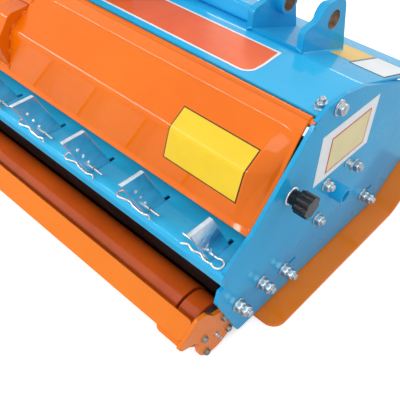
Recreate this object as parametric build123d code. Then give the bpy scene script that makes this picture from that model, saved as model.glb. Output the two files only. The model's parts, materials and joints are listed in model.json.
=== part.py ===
"""Rear three-point flail mulcher: housing with hood, rake, roller, rotor and hitch. Millimetres, +Z up."""
from build123d import *
from math import atan, cos, degrees, hypot, pi, radians, sin, tan
import os

os.makedirs("parts", exist_ok=True)

# Frame while modelling: X = 0 half way between the side plates, +X to the right-hand end,
# Y = 0 at the rear bottom corner of the side plates, +Y towards the tractor, Z = 0 on the ground.

# Sizes: housing
HOUSING_W = 1460.0          # over the two side plates
SIDE_T = 8.0                # side plate
DECK_T = 5.0                # deck sheet
DECK_BEND_R = 25.0          # inside radius of the bend across the deck
EDGE_BEND_R = 6.0           # inside radius of the sharp bends
RUN_GAP = 5.0               # clearance between moving bodies
PIN_GAP = 0.08              # radial running clearance of a shaft in its hole
FACE_GAP = 0.3              # clearance of curved faces on different bodies
CUT_OVER = 1.0              # how far a cutting body passes the face that it opens
SHAFT_END_GAP = 1.0         # end of a shaft to the plate behind its bearing

HALF_W = HOUSING_W / 2
INNER_X = HALF_W - SIDE_T   # inner face of the right side plate

# Side plate outline: name, y, z, corner radius
SIDE_OUTLINE = [
    ("rear_bottom", 0.0, 12.0, 15.0),
    ("rear_knee", -68.0, 165.0, 4.0),
    ("channel_seat_low", -61.0, 194.0, 0.0),
    ("channel_seat_in", -52.0, 194.0, 0.0),
    ("channel_seat_top", -52.0, 236.0, 2.0),
    ("lip_corner", 14.0, 276.0, 6.0),
    ("hinge_shoulder", 152.0, 429.0, 12.0),
    ("top_rear", 183.0, 443.0, 12.0),
    ("top_mid", 239.0, 440.0, 20.0),
    ("top_bend", 297.0, 426.0, 30.0),
    ("front_top", 600.0, 302.0, 15.0),
    ("front_low", 600.0, 90.0, 20.0),
    ("front_chamfer", 500.0, 12.0, 20.0),
]

# Deck: top surface of the sheet, y and z
DECK_REAR_Y, DECK_REAR_Z = 165.0, 429.0
DECK_BEND_Y, DECK_BEND_Z = 305.0, 422.0
DECK_FRONT_Y = 584.0
DECK_SLOPE = 0.35           # fall of the front deck per mm forward
DECK_LIP_H = 38.0           # turned-down front lip

# Rotor
ROTOR_Y, ROTOR_Z = 270.0, 202.0
ROTOR_TUBE_R = 62.0
ROTOR_TUBE_T = 8.0
ROTOR_END_GAP = 18.0        # rotor tube end to the side plate
ROTOR_SHAFT_R = 25.0
FLAIL_R = 172.0             # circle swept by the flail tips
HAMMER_W = 62.0             # hammer head along the rotor
HAMMER_LEG_W = 30.0
HAMMER_LEG_T = 18.0
# Hammer head outline, seen along the rotor: tangential, radial
HAMMER_HEAD = [
    (-9.0, 111.0), (9.0, 111.0), (16.0, 138.0), (27.0, 158.0),
    (21.0, 169.0), (4.0, 171.0), (-9.0, 150.0),
]
HAMMER_COUNT = 18
HAMMER_STEP_ANGLE = 100.0   # turn from one hammer to the next
EAR_T = 10.0
EAR_FOOT_W = 48.0
EAR_HEAD_W = 26.0
EAR_TOP_R = 108.0           # ear tops from the rotor axis
HAMMER_ROOT_R = 80.0
CUP_R = 17.0                # grease cup welded outside the right side plate
CUP_OUT = 27.0
CUP_WALL = 4.0
FLANGE_R = 78.0             # bearing flange
FLANGE_T = 10.0

# Hood
HINGE_Y, HINGE_Z = 154.0, 421.0
HINGE_R = 9.0
HINGE_PIN_R = 7.0
HOOD_T = 4.0
HOOD_END_GAP = 5.0          # hood end to the side plate
HOOD_OPEN_DEG = 105.0
# Hood outer face: y, z
HOOD_TOP = (147.2, 426.9)           # tangent to the hinge bar
HOOD_CREASE = (131.0, 408.0)
HOOD_RIDGE = (48.0, 354.0)
HOOD_LOW = (23.0, 266.0)
HOOD_LIP = (15.0, 259.0)
HOOD_FLAT_RIDGE = (93.0, 346.0)     # the straight line at the ends of the bulge
HOOD_FLAT_LOW = (25.0, 266.0)
HOOD_BENDS = [10.0, 16.0, 4.0]      # inside radii at crease, ridge and low edge
BULGE_INSET = 52.0          # where the bulge stops, from the outer face of the side plate
CHEEK_W = 32.0              # width of the sloped cheek at each end of the bulge
RIB_HALF_W = 24.0           # box rib at the middle of the hood
RIB_H = 34.0
RIB_CORNER_R = 24.0

# Latch knob
KNOB_Y, KNOB_Z = 110.0, 298.0
KNOB_R = 22.0
KNOB_WAIST_R = 17.5
KNOB_H = 26.0
KNOB_BASE_R = 14.0
KNOB_BASE_H = 18.0
KNOB_STUD_R = 6.0
KNOB_LOBES = 7
LATCH_HEAD_R = 13.0
LATCH_HEAD_T = 6.0
HOOD_TAB_T = 6.0
HOOD_TAB_R = 24.0
HOOD_SLOT_PLAY = 1.5
HOOD_SLOT_L = 60.0
LATCH_HEAD_GAP = 2.0

# Rake
CHANNEL_TOP_Z = 233.0
CHANNEL_H = 35.0
CHANNEL_REAR_Y = -57.0
CHANNEL_FRONT_Y = 38.0
CHANNEL_T = 5.0
TINE_COUNT = 10
TINE_END_INSET = 40.0       # first tine from the outer face of the side plate
TINE_W = 45.0
TINE_T = 8.0
TINE_LEAN = 25.0            # degrees off plumb, top to the rear
TINE_TOP_REAR_Y, TINE_TOP_Z = -96.0, 333.0
TINE_TIP_Z = 36.0
TINE_HOLE_R = 3.5
TINE_HOLE_SIDES = 6
TINE_HOLE_INSET = 14.0
TINE_HOLES = [30.0, 50.0, 70.0, 92.0]   # down the tine from its top
SLOT_FRONT_GAP = 12.0
SLOT_REAR_GAP = 2.0

# Rubber flap
FLAP_T = 5.0
FLAP_SIDE_GAP = 12.0
FLAP_TOP_Y = -50.0
FLAP_TAB = 14.0
FLAP_KNEE = (-25.0, 118.0)
FLAP_LOW_KNEE = (8.0, 70.0)
FLAP_END = (15.0, 24.0)
FLAP_BENDS = [3.0, 60.0, 40.0]

# Roller
ROLLER_Y, ROLLER_Z = -55.0, 54.0
ROLLER_R = 54.0
ROLLER_T = 5.0
ROLLER_END_INSET = 82.0     # tube end from the outer face of the side plate
ROLLER_SHAFT_R = 17.5
ROLLER_DISC_T = 8.0
GUARD_L = 40.0              # fixed ring that carries on the roller's line
GUARD_WALL = 4.0
GUARD_R = 52.0
HUB_R = 43.0                # bearing housing between the ring and the bracket
HUB_REACH = 12.0            # into the ring
BRACKET_T = 8.0
BRACKET_DISC_R = 48.0
BRACKET_OUTLINE = [
    ("arm_front_low", 84.0, 68.0, 10.0),
    ("arm_front_top", 84.0, 128.0, 10.0),
    ("arm_rear_top", -44.0, 114.0, 16.0),
    ("horn_root", -64.0, 121.0, 8.0),
    ("horn_top_front", -83.0, 145.0, 12.0),
    ("horn_top", -106.0, 149.0, 8.0),
    ("beam_rear", -151.0, 111.0, 4.0),
    ("notch_rear", -143.0, 100.0, 4.0),
    ("notch_in", -112.0, 86.0, 5.0),
    ("disc_core", -84.0, 60.0, 0.0),
    ("disc_tangent", -34.0, 10.7, 0.0),
]
BEAM_REAR = (-143.0, 118.0)
BEAM_W = 42.0
BEAM_T = 8.0
BEAM_TILT = 38.2            # degrees, front edge up
BEAM_CORNER_R = 8.0
TAB_L = 60.0                # tongue of the bracket under the end of the beam
TAB_T = 6.0
TAB_OVERHANG = 9.0
TAB_CORNER_R = 14.0
SCRAPER_T = 6.0
SCRAPER_GAP = 4.0
SCRAPER_ANGLE = 142.0       # where its edge meets the roller, degrees from forward

# Skids
SKID_OUT = 52.0             # sole outside the side plate
SKID_T = 8.0
SKID_REAR_Y = 54.0
SKID_CORNER_R = 30.0
SKID_FLAT_END_Y = 503.0
SKID_TOE_Y, SKID_TOE_Z = 600.0, 75.0
SKID_BEND_R = 60.0
SKID_UPRIGHT_REAR_Y = 96.0
SKID_UPRIGHT_FRONT_Y = 470.0
SKID_UPRIGHT_H = 118.0

# Height slots of the skid in the side plate: name, y, z
SKID_SLOTS = [
    ("rear", 148.0, 82.0),
    ("front", 433.0, 87.0),
]
SLOT_L, SLOT_H = 46.0, 9.0

# Front flaps
FRONT_ROD_Y, FRONT_ROD_Z = 582.0, 264.0
FRONT_ROD_R = 8.0
FRONT_FLAP_COUNT = 16
FRONT_FLAP_GAP = 6.0
FRONT_FLAP_T = 4.0
FRONT_FLAP_L = 205.0
FRONT_EYE_R = 13.0
FRONT_EYE_SIDES = 8
FRONT_BORE_SIDES = 8
FRONT_FLAP_SWING = 40.0

# Hitch
HITCH_OFFSET = 106.0        # hitch centre right of the housing centre
LOWER_SPREAD = 825.0        # between the two lower hitch points
LUG_Y, LUG_Z = 407.0, 453.0
LUG_T = 14.0
LUG_GAP = 104.0             # between the two plates of one lug
BORE_R = 19.0
BUSH_R = 26.0
BUSH_L = 30.0
BASE_T = 8.0                # plate under a lug, on the deck
# Lug plate outline above the deck: name, y, z, corner radius
LUG_OUTLINE = [
    ("rear_top", 312.0, 463.0, 14.0),
    ("shoulder", 350.0, 468.0, 20.0),
    ("crown_rear", 378.0, 492.0, 24.0),
    ("crown_front", 438.0, 492.0, 32.0),
]
LUG_REAR_Y = 312.0
LUG_FRONT_Y = 468.0
CROSS_L, CROSS_H = 62.0, 35.0        # cross beam along the deck and up from it
CROSS_T = 5.0
CROSS_SEAT = 52.0           # from the deck bend to the beam's rear face, along the deck
MAST_T = 15.0
MAST_REAR_Y = 236.0
MAST_NECK_REAR_Y = 332.0
MAST_FRONT_Y = 472.0
MAST_SHOULDER_Z = 645.0
MAST_STRAIGHT_Z = 705.0     # the plates are upright to here, then lean together
MAST_HEAD_Z = 880.0         # and upright again from here
TOP_LINK_GAP = 64.0
TOP_LINK_Y, TOP_LINK_Z = 420.0, 928.0
TOP_LINK_R = 12.75
TOP_LUG_R = 32.0

# Drive
GEAR_Y, GEAR_Z = 300.0, 590.0        # centre of the gearbox
GEAR_L, GEAR_W, GEAR_H = 210.0, 190.0, 200.0
GEAR_EDGE = 22.0
PTO_R = 17.5
PTO_L = 88.0
JOURNAL_R = 21.0            # input shaft where it runs in the collar
JOURNAL_PROUD = 3.0
PTO_COLLAR_R = 44.0
PTO_COLLAR_L = 26.0
PTO_DEPTH = 30.0
DRIVE_TUBE_R = 45.0
DRIVE_FLANGE_R = 72.0
DRIVE_FLANGE_T = 10.0
BELT_W = 84.0               # belt cover, outwards from the left side plate
BELT_TOP_R = 80.0
BELT_LOW_R = 110.0


def line_point(start, end, share):
    """Point at a share of the way from start to end."""
    return (start[0] + (end[0] - start[0]) * share, start[1] + (end[1] - start[1]) * share)


def offset_run(points, distance):
    """The run of points moved to the left of its travel, mitred at its corners."""
    moved = []
    for i, (y, z) in enumerate(points):
        normals = []
        for a, b in ((i - 1, i), (i, i + 1)):
            if a >= 0 and b < len(points):
                dy, dz = points[b][0] - points[a][0], points[b][1] - points[a][1]
                size = hypot(dy, dz)
                normals.append((-dz / size, dy / size))
        ny = sum(n[0] for n in normals) / len(normals)
        nz = sum(n[1] for n in normals) / len(normals)
        square = ny * ny + nz * nz
        moved.append((y + ny / square * distance, z + nz / square * distance))
    return moved


def bent_run(points, radii):
    """Lines along an open run of points, joined by tangent arcs of the given radii."""
    edges, start = [], Vector(*points[0])
    for i in range(1, len(points) - 1):
        corner = Vector(*points[i])
        back = (Vector(*points[i - 1]) - corner).normalized()
        ahead = (Vector(*points[i + 1]) - corner).normalized()
        half = radians(back.get_angle(ahead)) / 2
        reach = radii[i - 1] / tan(half)
        middle = corner + (back + ahead).normalized() * (radii[i - 1] / sin(half) - radii[i - 1])
        edges.append(Line(start, corner + back * reach))
        start = corner + ahead * reach
        edges.append(ThreePointArc(corner + back * reach, middle, start))
    edges.append(Line(start, Vector(*points[-1])))
    return edges


def bent_sheet(points, thickness, bends):
    """Face of a bent sheet in (y, z): the points are one side, the other lies to their left."""
    far = offset_run(points, thickness)
    near_radii, far_radii = [], []
    for i, bend in enumerate(bends, start=1):
        a, b, c = points[i - 1], points[i], points[i + 1]
        turn = (b[0] - a[0]) * (c[1] - b[1]) - (b[1] - a[1]) * (c[0] - b[0])
        near_radii.append(bend + thickness if turn > 0 else bend)
        far_radii.append(bend if turn > 0 else bend + thickness)
    edges = bent_run(points, near_radii) + [Line(points[-1], far[-1])]
    edges += bent_run(far[::-1], far_radii[::-1]) + [Line(far[0], points[0])]
    return make_face(edges)


def prism_x(face, x0, x1):
    """Solid between the planes X = x0 and X = x1 from a face in (y, z)."""
    return extrude(Plane.YZ.offset(x0) * face, amount=x1 - x0, dir=(1, 0, 0))


def profile_x(points, x0, x1):
    """Solid between two planes across X with a straight-sided outline."""
    return prism_x(make_face(Polyline(*points, close=True)), x0, x1)


def plate_x(rows, x0, x1):
    """Plate across X from a table of named corners with their own radii."""
    solid = profile_x([(y, z) for name, y, z, radius in rows], x0, x1)
    for name, y, z, radius in rows:
        if radius > 0:
            edge = solid.edges().filter_by(Axis.X).sort_by_distance(Vector((x0 + x1) / 2, y, z))[0]
            solid = fillet(edge, radius)
    return solid


def rod_x(y, z, radius, x0, x1):
    """Round bar along X."""
    return prism_x(Pos(y, z) * Circle(radius), x0, x1)


def ring_x(y, z, outer, inner, x0, x1):
    """Tube along X."""
    return prism_x(Pos(y, z) * (Circle(outer) - Circle(inner)), x0, x1)


def other_side(shape):
    """The same piece at the left-hand end."""
    return mirror(shape, about=Plane.YZ)


def both_sides(shape):
    """The piece and its mirror image at the left-hand end, as one node."""
    return Compound(children=[shape.solids()[0], other_side(shape).solids()[0]])


def deck_z(y):
    """Height of the deck's top face."""
    if y <= DECK_BEND_Y:
        share = (y - DECK_REAR_Y) / (DECK_BEND_Y - DECK_REAR_Y)
        return DECK_REAR_Z + (DECK_BEND_Z - DECK_REAR_Z) * share
    return DECK_BEND_Z - DECK_SLOPE * (y - DECK_BEND_Y)


nodes = {}

# Deck and side plates
deck_line = [
    (DECK_FRONT_Y, deck_z(DECK_FRONT_Y) - DECK_LIP_H),
    (DECK_FRONT_Y, deck_z(DECK_FRONT_Y)),
    (DECK_BEND_Y, DECK_BEND_Z),
    (DECK_REAR_Y, DECK_REAR_Z),
]
deck_face = bent_sheet(deck_line, DECK_T, [EDGE_BEND_R, DECK_BEND_R])
nodes["deck"] = prism_x(deck_face, -INNER_X, INNER_X)

side = plate_x(SIDE_OUTLINE, INNER_X, HALF_W)
side -= rod_x(HINGE_Y, HINGE_Z, HINGE_PIN_R + PIN_GAP, INNER_X - CUT_OVER, HALF_W + CUT_OVER)
side -= rod_x(KNOB_Y, KNOB_Z, KNOB_STUD_R + PIN_GAP, INNER_X - CUT_OVER, HALF_W + CUT_OVER)
side -= rod_x(FRONT_ROD_Y, FRONT_ROD_Z, FRONT_ROD_R, INNER_X - CUT_OVER, HALF_W + CUT_OVER)
for name, y, z in SKID_SLOTS:
    side -= Pos((INNER_X + HALF_W) / 2, y, z) * Box(2 * SIDE_T, SLOT_L, SLOT_H)
grease_cup = ring_x(ROTOR_Y, ROTOR_Z, CUP_R, CUP_R - CUP_WALL, HALF_W, HALF_W + CUP_OUT)
nodes["side_plate_right"] = side + grease_cup
shaft_hole = rod_x(ROTOR_Y, ROTOR_Z, ROTOR_SHAFT_R + FACE_GAP, -HALF_W - CUT_OVER, -INNER_X + CUT_OVER)
nodes["side_plate_left"] = other_side(side) - shaft_hole

# Rotor
rotor_end = INNER_X - ROTOR_END_GAP
bearing = ring_x(ROTOR_Y, ROTOR_Z, FLANGE_R, ROTOR_SHAFT_R + PIN_GAP, INNER_X - FLANGE_T, INNER_X)
nodes["rotor_bearings"] = both_sides(bearing)

rotor_tube = ring_x(ROTOR_Y, ROTOR_Z, ROTOR_TUBE_R, ROTOR_TUBE_R - ROTOR_TUBE_T, -rotor_end, rotor_end)
for x0 in (rotor_end - SIDE_T, -rotor_end):
    rotor_tube += rod_x(ROTOR_Y, ROTOR_Z, ROTOR_TUBE_R - ROTOR_TUBE_T, x0, x0 + SIDE_T)
rotor_tube += rod_x(ROTOR_Y, ROTOR_Z, ROTOR_SHAFT_R, rotor_end, INNER_X - SHAFT_END_GAP)
rotor_tube += rod_x(ROTOR_Y, ROTOR_Z, ROTOR_SHAFT_R, -HALF_W - BELT_W / 2, -rotor_end)
nodes["rotor_tube"] = rotor_tube

# Each hammer hangs between two ears: a narrow leg and a wide cutting head
ear_face = make_face(Polyline(
    (-EAR_FOOT_W / 2, ROTOR_TUBE_R - EAR_T / 2), (EAR_FOOT_W / 2, ROTOR_TUBE_R - EAR_T / 2),
    (EAR_HEAD_W / 2, EAR_TOP_R), (-EAR_HEAD_W / 2, EAR_TOP_R), close=True))
leg_top = HAMMER_HEAD[0][1]
leg_face = Pos(0, (HAMMER_ROOT_R + leg_top) / 2) * Rectangle(HAMMER_LEG_T, leg_top - HAMMER_ROOT_R)
head_face = make_face(Polyline(*HAMMER_HEAD, close=True))
tube_envelope = rod_x(ROTOR_Y, ROTOR_Z, ROTOR_TUBE_R, -rotor_end, rotor_end)
ears, hammers = [], []
hammer_span = 2 * rotor_end - HAMMER_W - 2 * EAR_T
for i in range(HAMMER_COUNT):
    x = -hammer_span / 2 + hammer_span * i / (HAMMER_COUNT - 1)
    seat = Pos(x, ROTOR_Y, ROTOR_Z) * Rot(HAMMER_STEP_ANGLE * i, 0, 0) * Plane.YZ.location
    for start in (-HAMMER_LEG_W / 2 - EAR_T, HAMMER_LEG_W / 2):
        ear = seat * Pos(0, 0, start) * extrude(ear_face, amount=EAR_T) - tube_envelope
        ears.append(ear.solids()[0])
    leg = Pos(0, 0, -HAMMER_LEG_W / 2) * extrude(leg_face, amount=HAMMER_LEG_W)
    head = Pos(0, 0, -HAMMER_W / 2) * extrude(head_face, amount=HAMMER_W)
    hammers.append((seat * (leg + head)).solids()[0])
nodes["rotor_ears"] = Compound(children=ears)
nodes["rotor_hammers"] = Compound(children=hammers)

# Hood
hood_end = INNER_X - HOOD_END_GAP
bulge_end = HALF_W - BULGE_INSET
flat_line = [HOOD_TOP, HOOD_CREASE, HOOD_FLAT_RIDGE, HOOD_FLAT_LOW, HOOD_LIP]
bulge_line = [HOOD_TOP, HOOD_CREASE, HOOD_RIDGE, HOOD_LOW, HOOD_LIP]
flat_face = bent_sheet(flat_line, HOOD_T, HOOD_BENDS)
bulge_face = bent_sheet(bulge_line, HOOD_T, HOOD_BENDS)
cheek_x = bulge_end + CHEEK_W
cheek = loft([Plane.YZ.offset(bulge_end) * bulge_face, Plane.YZ.offset(cheek_x) * flat_face], ruled=True)
hem = prism_x(flat_face, cheek_x, hood_end)
hood_panel = prism_x(bulge_face, -bulge_end, bulge_end) + cheek + other_side(cheek) + hem + other_side(hem)
nodes["hood_panel"] = hood_panel

hinge_bar = rod_x(HINGE_Y, HINGE_Z, HINGE_R, -hood_end, hood_end) - hood_panel
pin_end = HALF_W - SIDE_T / 4
hinge_bar += rod_x(HINGE_Y, HINGE_Z, HINGE_PIN_R, hood_end, pin_end)
hinge_bar += rod_x(HINGE_Y, HINGE_Z, HINGE_PIN_R, -pin_end, -hood_end)
nodes["hood_hinge_bar"] = hinge_bar

# Box rib over the ridge: its foot runs in the middle of the sheet, which is then cut away
mid_line = offset_run(bulge_line, HOOD_T / 2)
mid_ridge = mid_line[2]
rib_foot = line_point(mid_ridge, mid_line[1], 0.72)
rib_low = line_point(mid_ridge, mid_line[3], 0.93)
rib_rows = [
    ("foot", rib_foot[0], rib_foot[1], 0.0),
    ("upper_corner", HOOD_RIDGE[0] + RIB_H * 0.1, HOOD_RIDGE[1] + RIB_H, RIB_CORNER_R),
    ("lower_corner", HOOD_RIDGE[0] - RIB_H * 1.1, HOOD_RIDGE[1] - RIB_H * 0.5, RIB_CORNER_R),
    ("low", rib_low[0], rib_low[1], 0.0),
    ("ridge", mid_ridge[0], mid_ridge[1], 0.0),
]
nodes["hood_rib"] = plate_x(rib_rows, -RIB_HALF_W, RIB_HALF_W) - hood_panel

# Catch tab at each end of the hood, with a slot that leaves the latch stud as the hood rises
radius_y, radius_z = KNOB_Y - HINGE_Y, KNOB_Z - HINGE_Z
arm = hypot(radius_y, radius_z)
lead = (-radius_z / arm, radius_y / arm)
tab_x1 = hood_end
tab_x0 = tab_x1 - HOOD_TAB_T
flat_inside = offset_run(flat_line, HOOD_T)
tab_root = line_point(flat_inside[2], flat_inside[3], 0.3)
tab_foot = line_point(flat_inside[2], flat_inside[3], 0.75)
tab_outline = [
    tab_root,
    tab_foot,
    (KNOB_Y + HOOD_TAB_R * 0.5, KNOB_Z - HOOD_TAB_R),
    (KNOB_Y + HOOD_TAB_R, KNOB_Z - HOOD_TAB_R * 0.5),
    (KNOB_Y + HOOD_TAB_R, KNOB_Z + HOOD_TAB_R),
]
slot_r = KNOB_STUD_R + HOOD_SLOT_PLAY
across = (lead[1] * slot_r, -lead[0] * slot_r)
slot_points = [
    (KNOB_Y - across[0], KNOB_Z - across[1]),
    (KNOB_Y + across[0], KNOB_Z + across[1]),
    (KNOB_Y + lead[0] * HOOD_SLOT_L + across[0], KNOB_Z + lead[1] * HOOD_SLOT_L + across[1]),
    (KNOB_Y + lead[0] * HOOD_SLOT_L - across[0], KNOB_Z + lead[1] * HOOD_SLOT_L - across[1]),
]
tab = profile_x(tab_outline, tab_x0, tab_x1)
tab -= rod_x(KNOB_Y, KNOB_Z, slot_r, tab_x0 - CUT_OVER, tab_x1 + CUT_OVER)
tab -= profile_x(slot_points, tab_x0 - CUT_OVER, tab_x1 + CUT_OVER)
nodes["hood_catches"] = both_sides(tab)

# Latch knobs
lobes = []
for k in range(KNOB_LOBES):
    a, b = 360 / KNOB_LOBES * k, 360 / KNOB_LOBES * (k + 1)
    ends = [(KNOB_WAIST_R * cos(radians(t)), KNOB_WAIST_R * sin(radians(t))) for t in (a, b)]
    crown = (KNOB_R * cos(radians((a + b) / 2)), KNOB_R * sin(radians((a + b) / 2)))
    lobes.append(ThreePointArc(ends[0], crown, ends[1]))
neck_x = HALF_W + KNOB_BASE_H
knob = rod_x(KNOB_Y, KNOB_Z, KNOB_BASE_R, HALF_W, neck_x)
knob += prism_x(Pos(KNOB_Y, KNOB_Z) * make_face(lobes), neck_x, neck_x + KNOB_H)
latch_in = tab_x0 - LATCH_HEAD_GAP
stud = rod_x(KNOB_Y, KNOB_Z, KNOB_STUD_R, latch_in, HALF_W)
stud += prism_x(Pos(KNOB_Y, KNOB_Z) * RegularPolygon(LATCH_HEAD_R, 6), latch_in - LATCH_HEAD_T, latch_in)
nodes["latch_knobs"] = both_sides(knob)
nodes["latch_studs"] = both_sides(stud)

# Rake channel, tines and rubber flap
channel_line = [
    (CHANNEL_FRONT_Y, CHANNEL_TOP_Z),
    (CHANNEL_REAR_Y, CHANNEL_TOP_Z),
    (CHANNEL_REAR_Y, CHANNEL_TOP_Z - CHANNEL_H),
    (CHANNEL_FRONT_Y, CHANNEL_TOP_Z - CHANNEL_H),
]
channel_face = bent_sheet(channel_line, CHANNEL_T, [EDGE_BEND_R, EDGE_BEND_R])
web_face = channel_face & Pos(
    CHANNEL_REAR_Y + CHANNEL_T / 2, CHANNEL_TOP_Z - CHANNEL_H / 2) * Rectangle(CHANNEL_T, CHANNEL_H)
channel = prism_x(channel_face, -INNER_X, INNER_X)
channel += prism_x(web_face, INNER_X, HALF_W) + prism_x(web_face, -HALF_W, -INNER_X)

lean = tan(radians(TINE_LEAN))
tine_run = TINE_W / cos(radians(TINE_LEAN))


def tine_y(z):
    """Rear edge of a tine at a height."""
    return TINE_TOP_REAR_Y + (TINE_TOP_Z - z) * lean


tine_outline = [
    (tine_y(TINE_TOP_Z), TINE_TOP_Z),
    (tine_y(TINE_TOP_Z) + tine_run, TINE_TOP_Z),
    (tine_y(TINE_TIP_Z) + tine_run, TINE_TIP_Z),
    (tine_y(TINE_TIP_Z), TINE_TIP_Z),
]
first_tine_x = HALF_W - TINE_END_INSET
tines, slots = [], []
for i in range(TINE_COUNT):
    x = first_tine_x - 2 * first_tine_x * i / (TINE_COUNT - 1)
    tine = profile_x(tine_outline, x - TINE_T / 2, x + TINE_T / 2)
    for drop in TINE_HOLES:
        hole_z = TINE_TOP_Z - drop
        hole = Pos(tine_y(hole_z) + TINE_HOLE_INSET, hole_z) * RegularPolygon(TINE_HOLE_R, TINE_HOLE_SIDES)
        tine -= prism_x(hole, x - TINE_T, x + TINE_T)
    tines.append(tine.solids()[0])
    for top in (CHANNEL_TOP_Z, CHANNEL_TOP_Z - CHANNEL_H + CHANNEL_T):
        y0, y1 = tine_y(top) - SLOT_REAR_GAP, tine_y(top - CHANNEL_T) + tine_run + SLOT_FRONT_GAP
        slots.append(Pos(x, (y0 + y1) / 2, top - CHANNEL_T / 2) * Box(TINE_T, y1 - y0, 2 * CHANNEL_T))
nodes["rake_channel"] = channel - slots
nodes["rake_tines"] = Compound(children=tines)

flap_half = INNER_X - FLAP_SIDE_GAP
flap_top = CHANNEL_TOP_Z - CHANNEL_H
flap_line = [(FLAP_TOP_Y + FLAP_TAB, flap_top), (FLAP_TOP_Y, flap_top), FLAP_KNEE, FLAP_LOW_KNEE, FLAP_END]
nodes["rear_rubber_flap"] = prism_x(bent_sheet(flap_line, FLAP_T, FLAP_BENDS), -flap_half, flap_half)

# Roller brackets and beam
bracket_x = INNER_X - BRACKET_T
bracket = plate_x(BRACKET_OUTLINE, bracket_x, INNER_X)
bracket += rod_x(ROLLER_Y, ROLLER_Z, BRACKET_DISC_R, bracket_x, INNER_X)
along = (cos(radians(BEAM_TILT)), sin(radians(BEAM_TILT)))
below = (along[1], -along[0])
beam_plane = Plane(origin=(0, BEAM_REAR[0], BEAM_REAR[1]), x_dir=(1, 0, 0), z_dir=(0, below[0], below[1]))
tab_face = Pos(bracket_x - TAB_L / 2, TAB_OVERHANG - BEAM_W / 2) * Rectangle(TAB_L, BEAM_W)
free_corner = tab_face.vertices().sort_by_distance(Vector(bracket_x - TAB_L, TAB_OVERHANG, 0))[0]
tab_face = fillet(free_corner, TAB_CORNER_R)
bracket += beam_plane.offset(BEAM_T) * extrude(tab_face, amount=TAB_T)
nodes["roller_brackets"] = both_sides(bracket)
beam_face = Pos(0, -BEAM_W / 2) * RectangleRounded(2 * bracket_x, BEAM_W, BEAM_CORNER_R)
nodes["roller_beam"] = beam_plane * extrude(beam_face, amount=BEAM_T)

# Roller, its bearings and end rings
roller_end = HALF_W - ROLLER_END_INSET
guard_x0 = roller_end + RUN_GAP
guard_x1 = guard_x0 + GUARD_L
hub_x0 = guard_x1 - HUB_REACH
guard = ring_x(ROLLER_Y, ROLLER_Z, GUARD_R, GUARD_R - GUARD_WALL, guard_x0, guard_x1)
guard += ring_x(ROLLER_Y, ROLLER_Z, GUARD_R - GUARD_WALL, HUB_R, guard_x1 - GUARD_WALL, guard_x1)
nodes["roller_guards"] = both_sides(guard)
hub = ring_x(ROLLER_Y, ROLLER_Z, HUB_R, ROLLER_SHAFT_R + PIN_GAP, hub_x0, bracket_x)
nodes["roller_bearings"] = both_sides(hub)

roller = ring_x(ROLLER_Y, ROLLER_Z, ROLLER_R, ROLLER_R - ROLLER_T, -roller_end, roller_end)
for x0 in (roller_end - ROLLER_DISC_T, -roller_end):
    roller += rod_x(ROLLER_Y, ROLLER_Z, ROLLER_R - ROLLER_T, x0, x0 + ROLLER_DISC_T)
roller += rod_x(ROLLER_Y, ROLLER_Z, ROLLER_SHAFT_R, roller_end, bracket_x - SHAFT_END_GAP)
roller += rod_x(ROLLER_Y, ROLLER_Z, ROLLER_SHAFT_R, SHAFT_END_GAP - bracket_x, -roller_end)
nodes["roller_tube"] = roller

edge_r = ROLLER_R + SCRAPER_GAP
scraper_turn = radians(SCRAPER_ANGLE)
scraper_edge = (ROLLER_Y + edge_r * cos(scraper_turn), ROLLER_Z + edge_r * sin(scraper_turn))
scraper_top = (
    BEAM_REAR[0] + along[0] * BEAM_W * 0.4 + below[0] * BEAM_T,
    BEAM_REAR[1] + along[1] * BEAM_W * 0.4 + below[1] * BEAM_T,
)
scraper_half = guard_x0 - TAB_L
scraper_face = make_face(Polyline(
    scraper_edge, scraper_top, *offset_run([scraper_edge, scraper_top], SCRAPER_T)[::-1], close=True))
nodes["roller_scraper"] = prism_x(scraper_face, -scraper_half, scraper_half) - nodes["roller_beam"]

# Skids
sole_line = [(SKID_REAR_Y, 0.0), (SKID_FLAT_END_Y, 0.0), (SKID_TOE_Y, SKID_TOE_Z)]
skid_inner = INNER_X - SKID_T
sole = prism_x(bent_sheet(sole_line, SKID_T, [SKID_BEND_R]), skid_inner, HALF_W + SKID_OUT)
rear_corner = sole.edges().filter_by(Axis.Z).sort_by_distance(Vector(HALF_W + SKID_OUT, SKID_REAR_Y, 0))[0]
upright_rows = [
    ("heel_low", SKID_UPRIGHT_REAR_Y, SKID_T, 0.0),
    ("heel_top", SKID_UPRIGHT_REAR_Y, SKID_UPRIGHT_H, 20.0),
    ("toe_top", SKID_UPRIGHT_FRONT_Y, SKID_UPRIGHT_H, 20.0),
    ("toe_low", SKID_UPRIGHT_FRONT_Y, SKID_T, 0.0),
]
skid = fillet(rear_corner, SKID_CORNER_R) + plate_x(upright_rows, skid_inner, INNER_X)
nodes["skid_right"] = skid
nodes["skid_left"] = other_side(skid)

# Front flaps
nodes["front_flap_rod"] = rod_x(FRONT_ROD_Y, FRONT_ROD_Z, FRONT_ROD_R, -HALF_W, HALF_W)
flap_zone = 2 * (skid_inner - RUN_GAP)
flap_pitch = flap_zone / FRONT_FLAP_COUNT
bore_r = (FRONT_ROD_R + FACE_GAP) / cos(pi / FRONT_BORE_SIDES)
flap_face = Pos(FRONT_ROD_Y, FRONT_ROD_Z) * (
    RegularPolygon(FRONT_EYE_R, FRONT_EYE_SIDES)
    + Pos(0, -FRONT_FLAP_L / 2) * Rectangle(FRONT_FLAP_T, FRONT_FLAP_L)
    - RegularPolygon(bore_r, FRONT_BORE_SIDES))
front_flaps = []
for i in range(FRONT_FLAP_COUNT):
    x0 = -flap_zone / 2 + flap_pitch * i + FRONT_FLAP_GAP / 2
    front_flaps.append(prism_x(flap_face, x0, x0 + flap_pitch - FRONT_FLAP_GAP).solids()[0])
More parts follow.
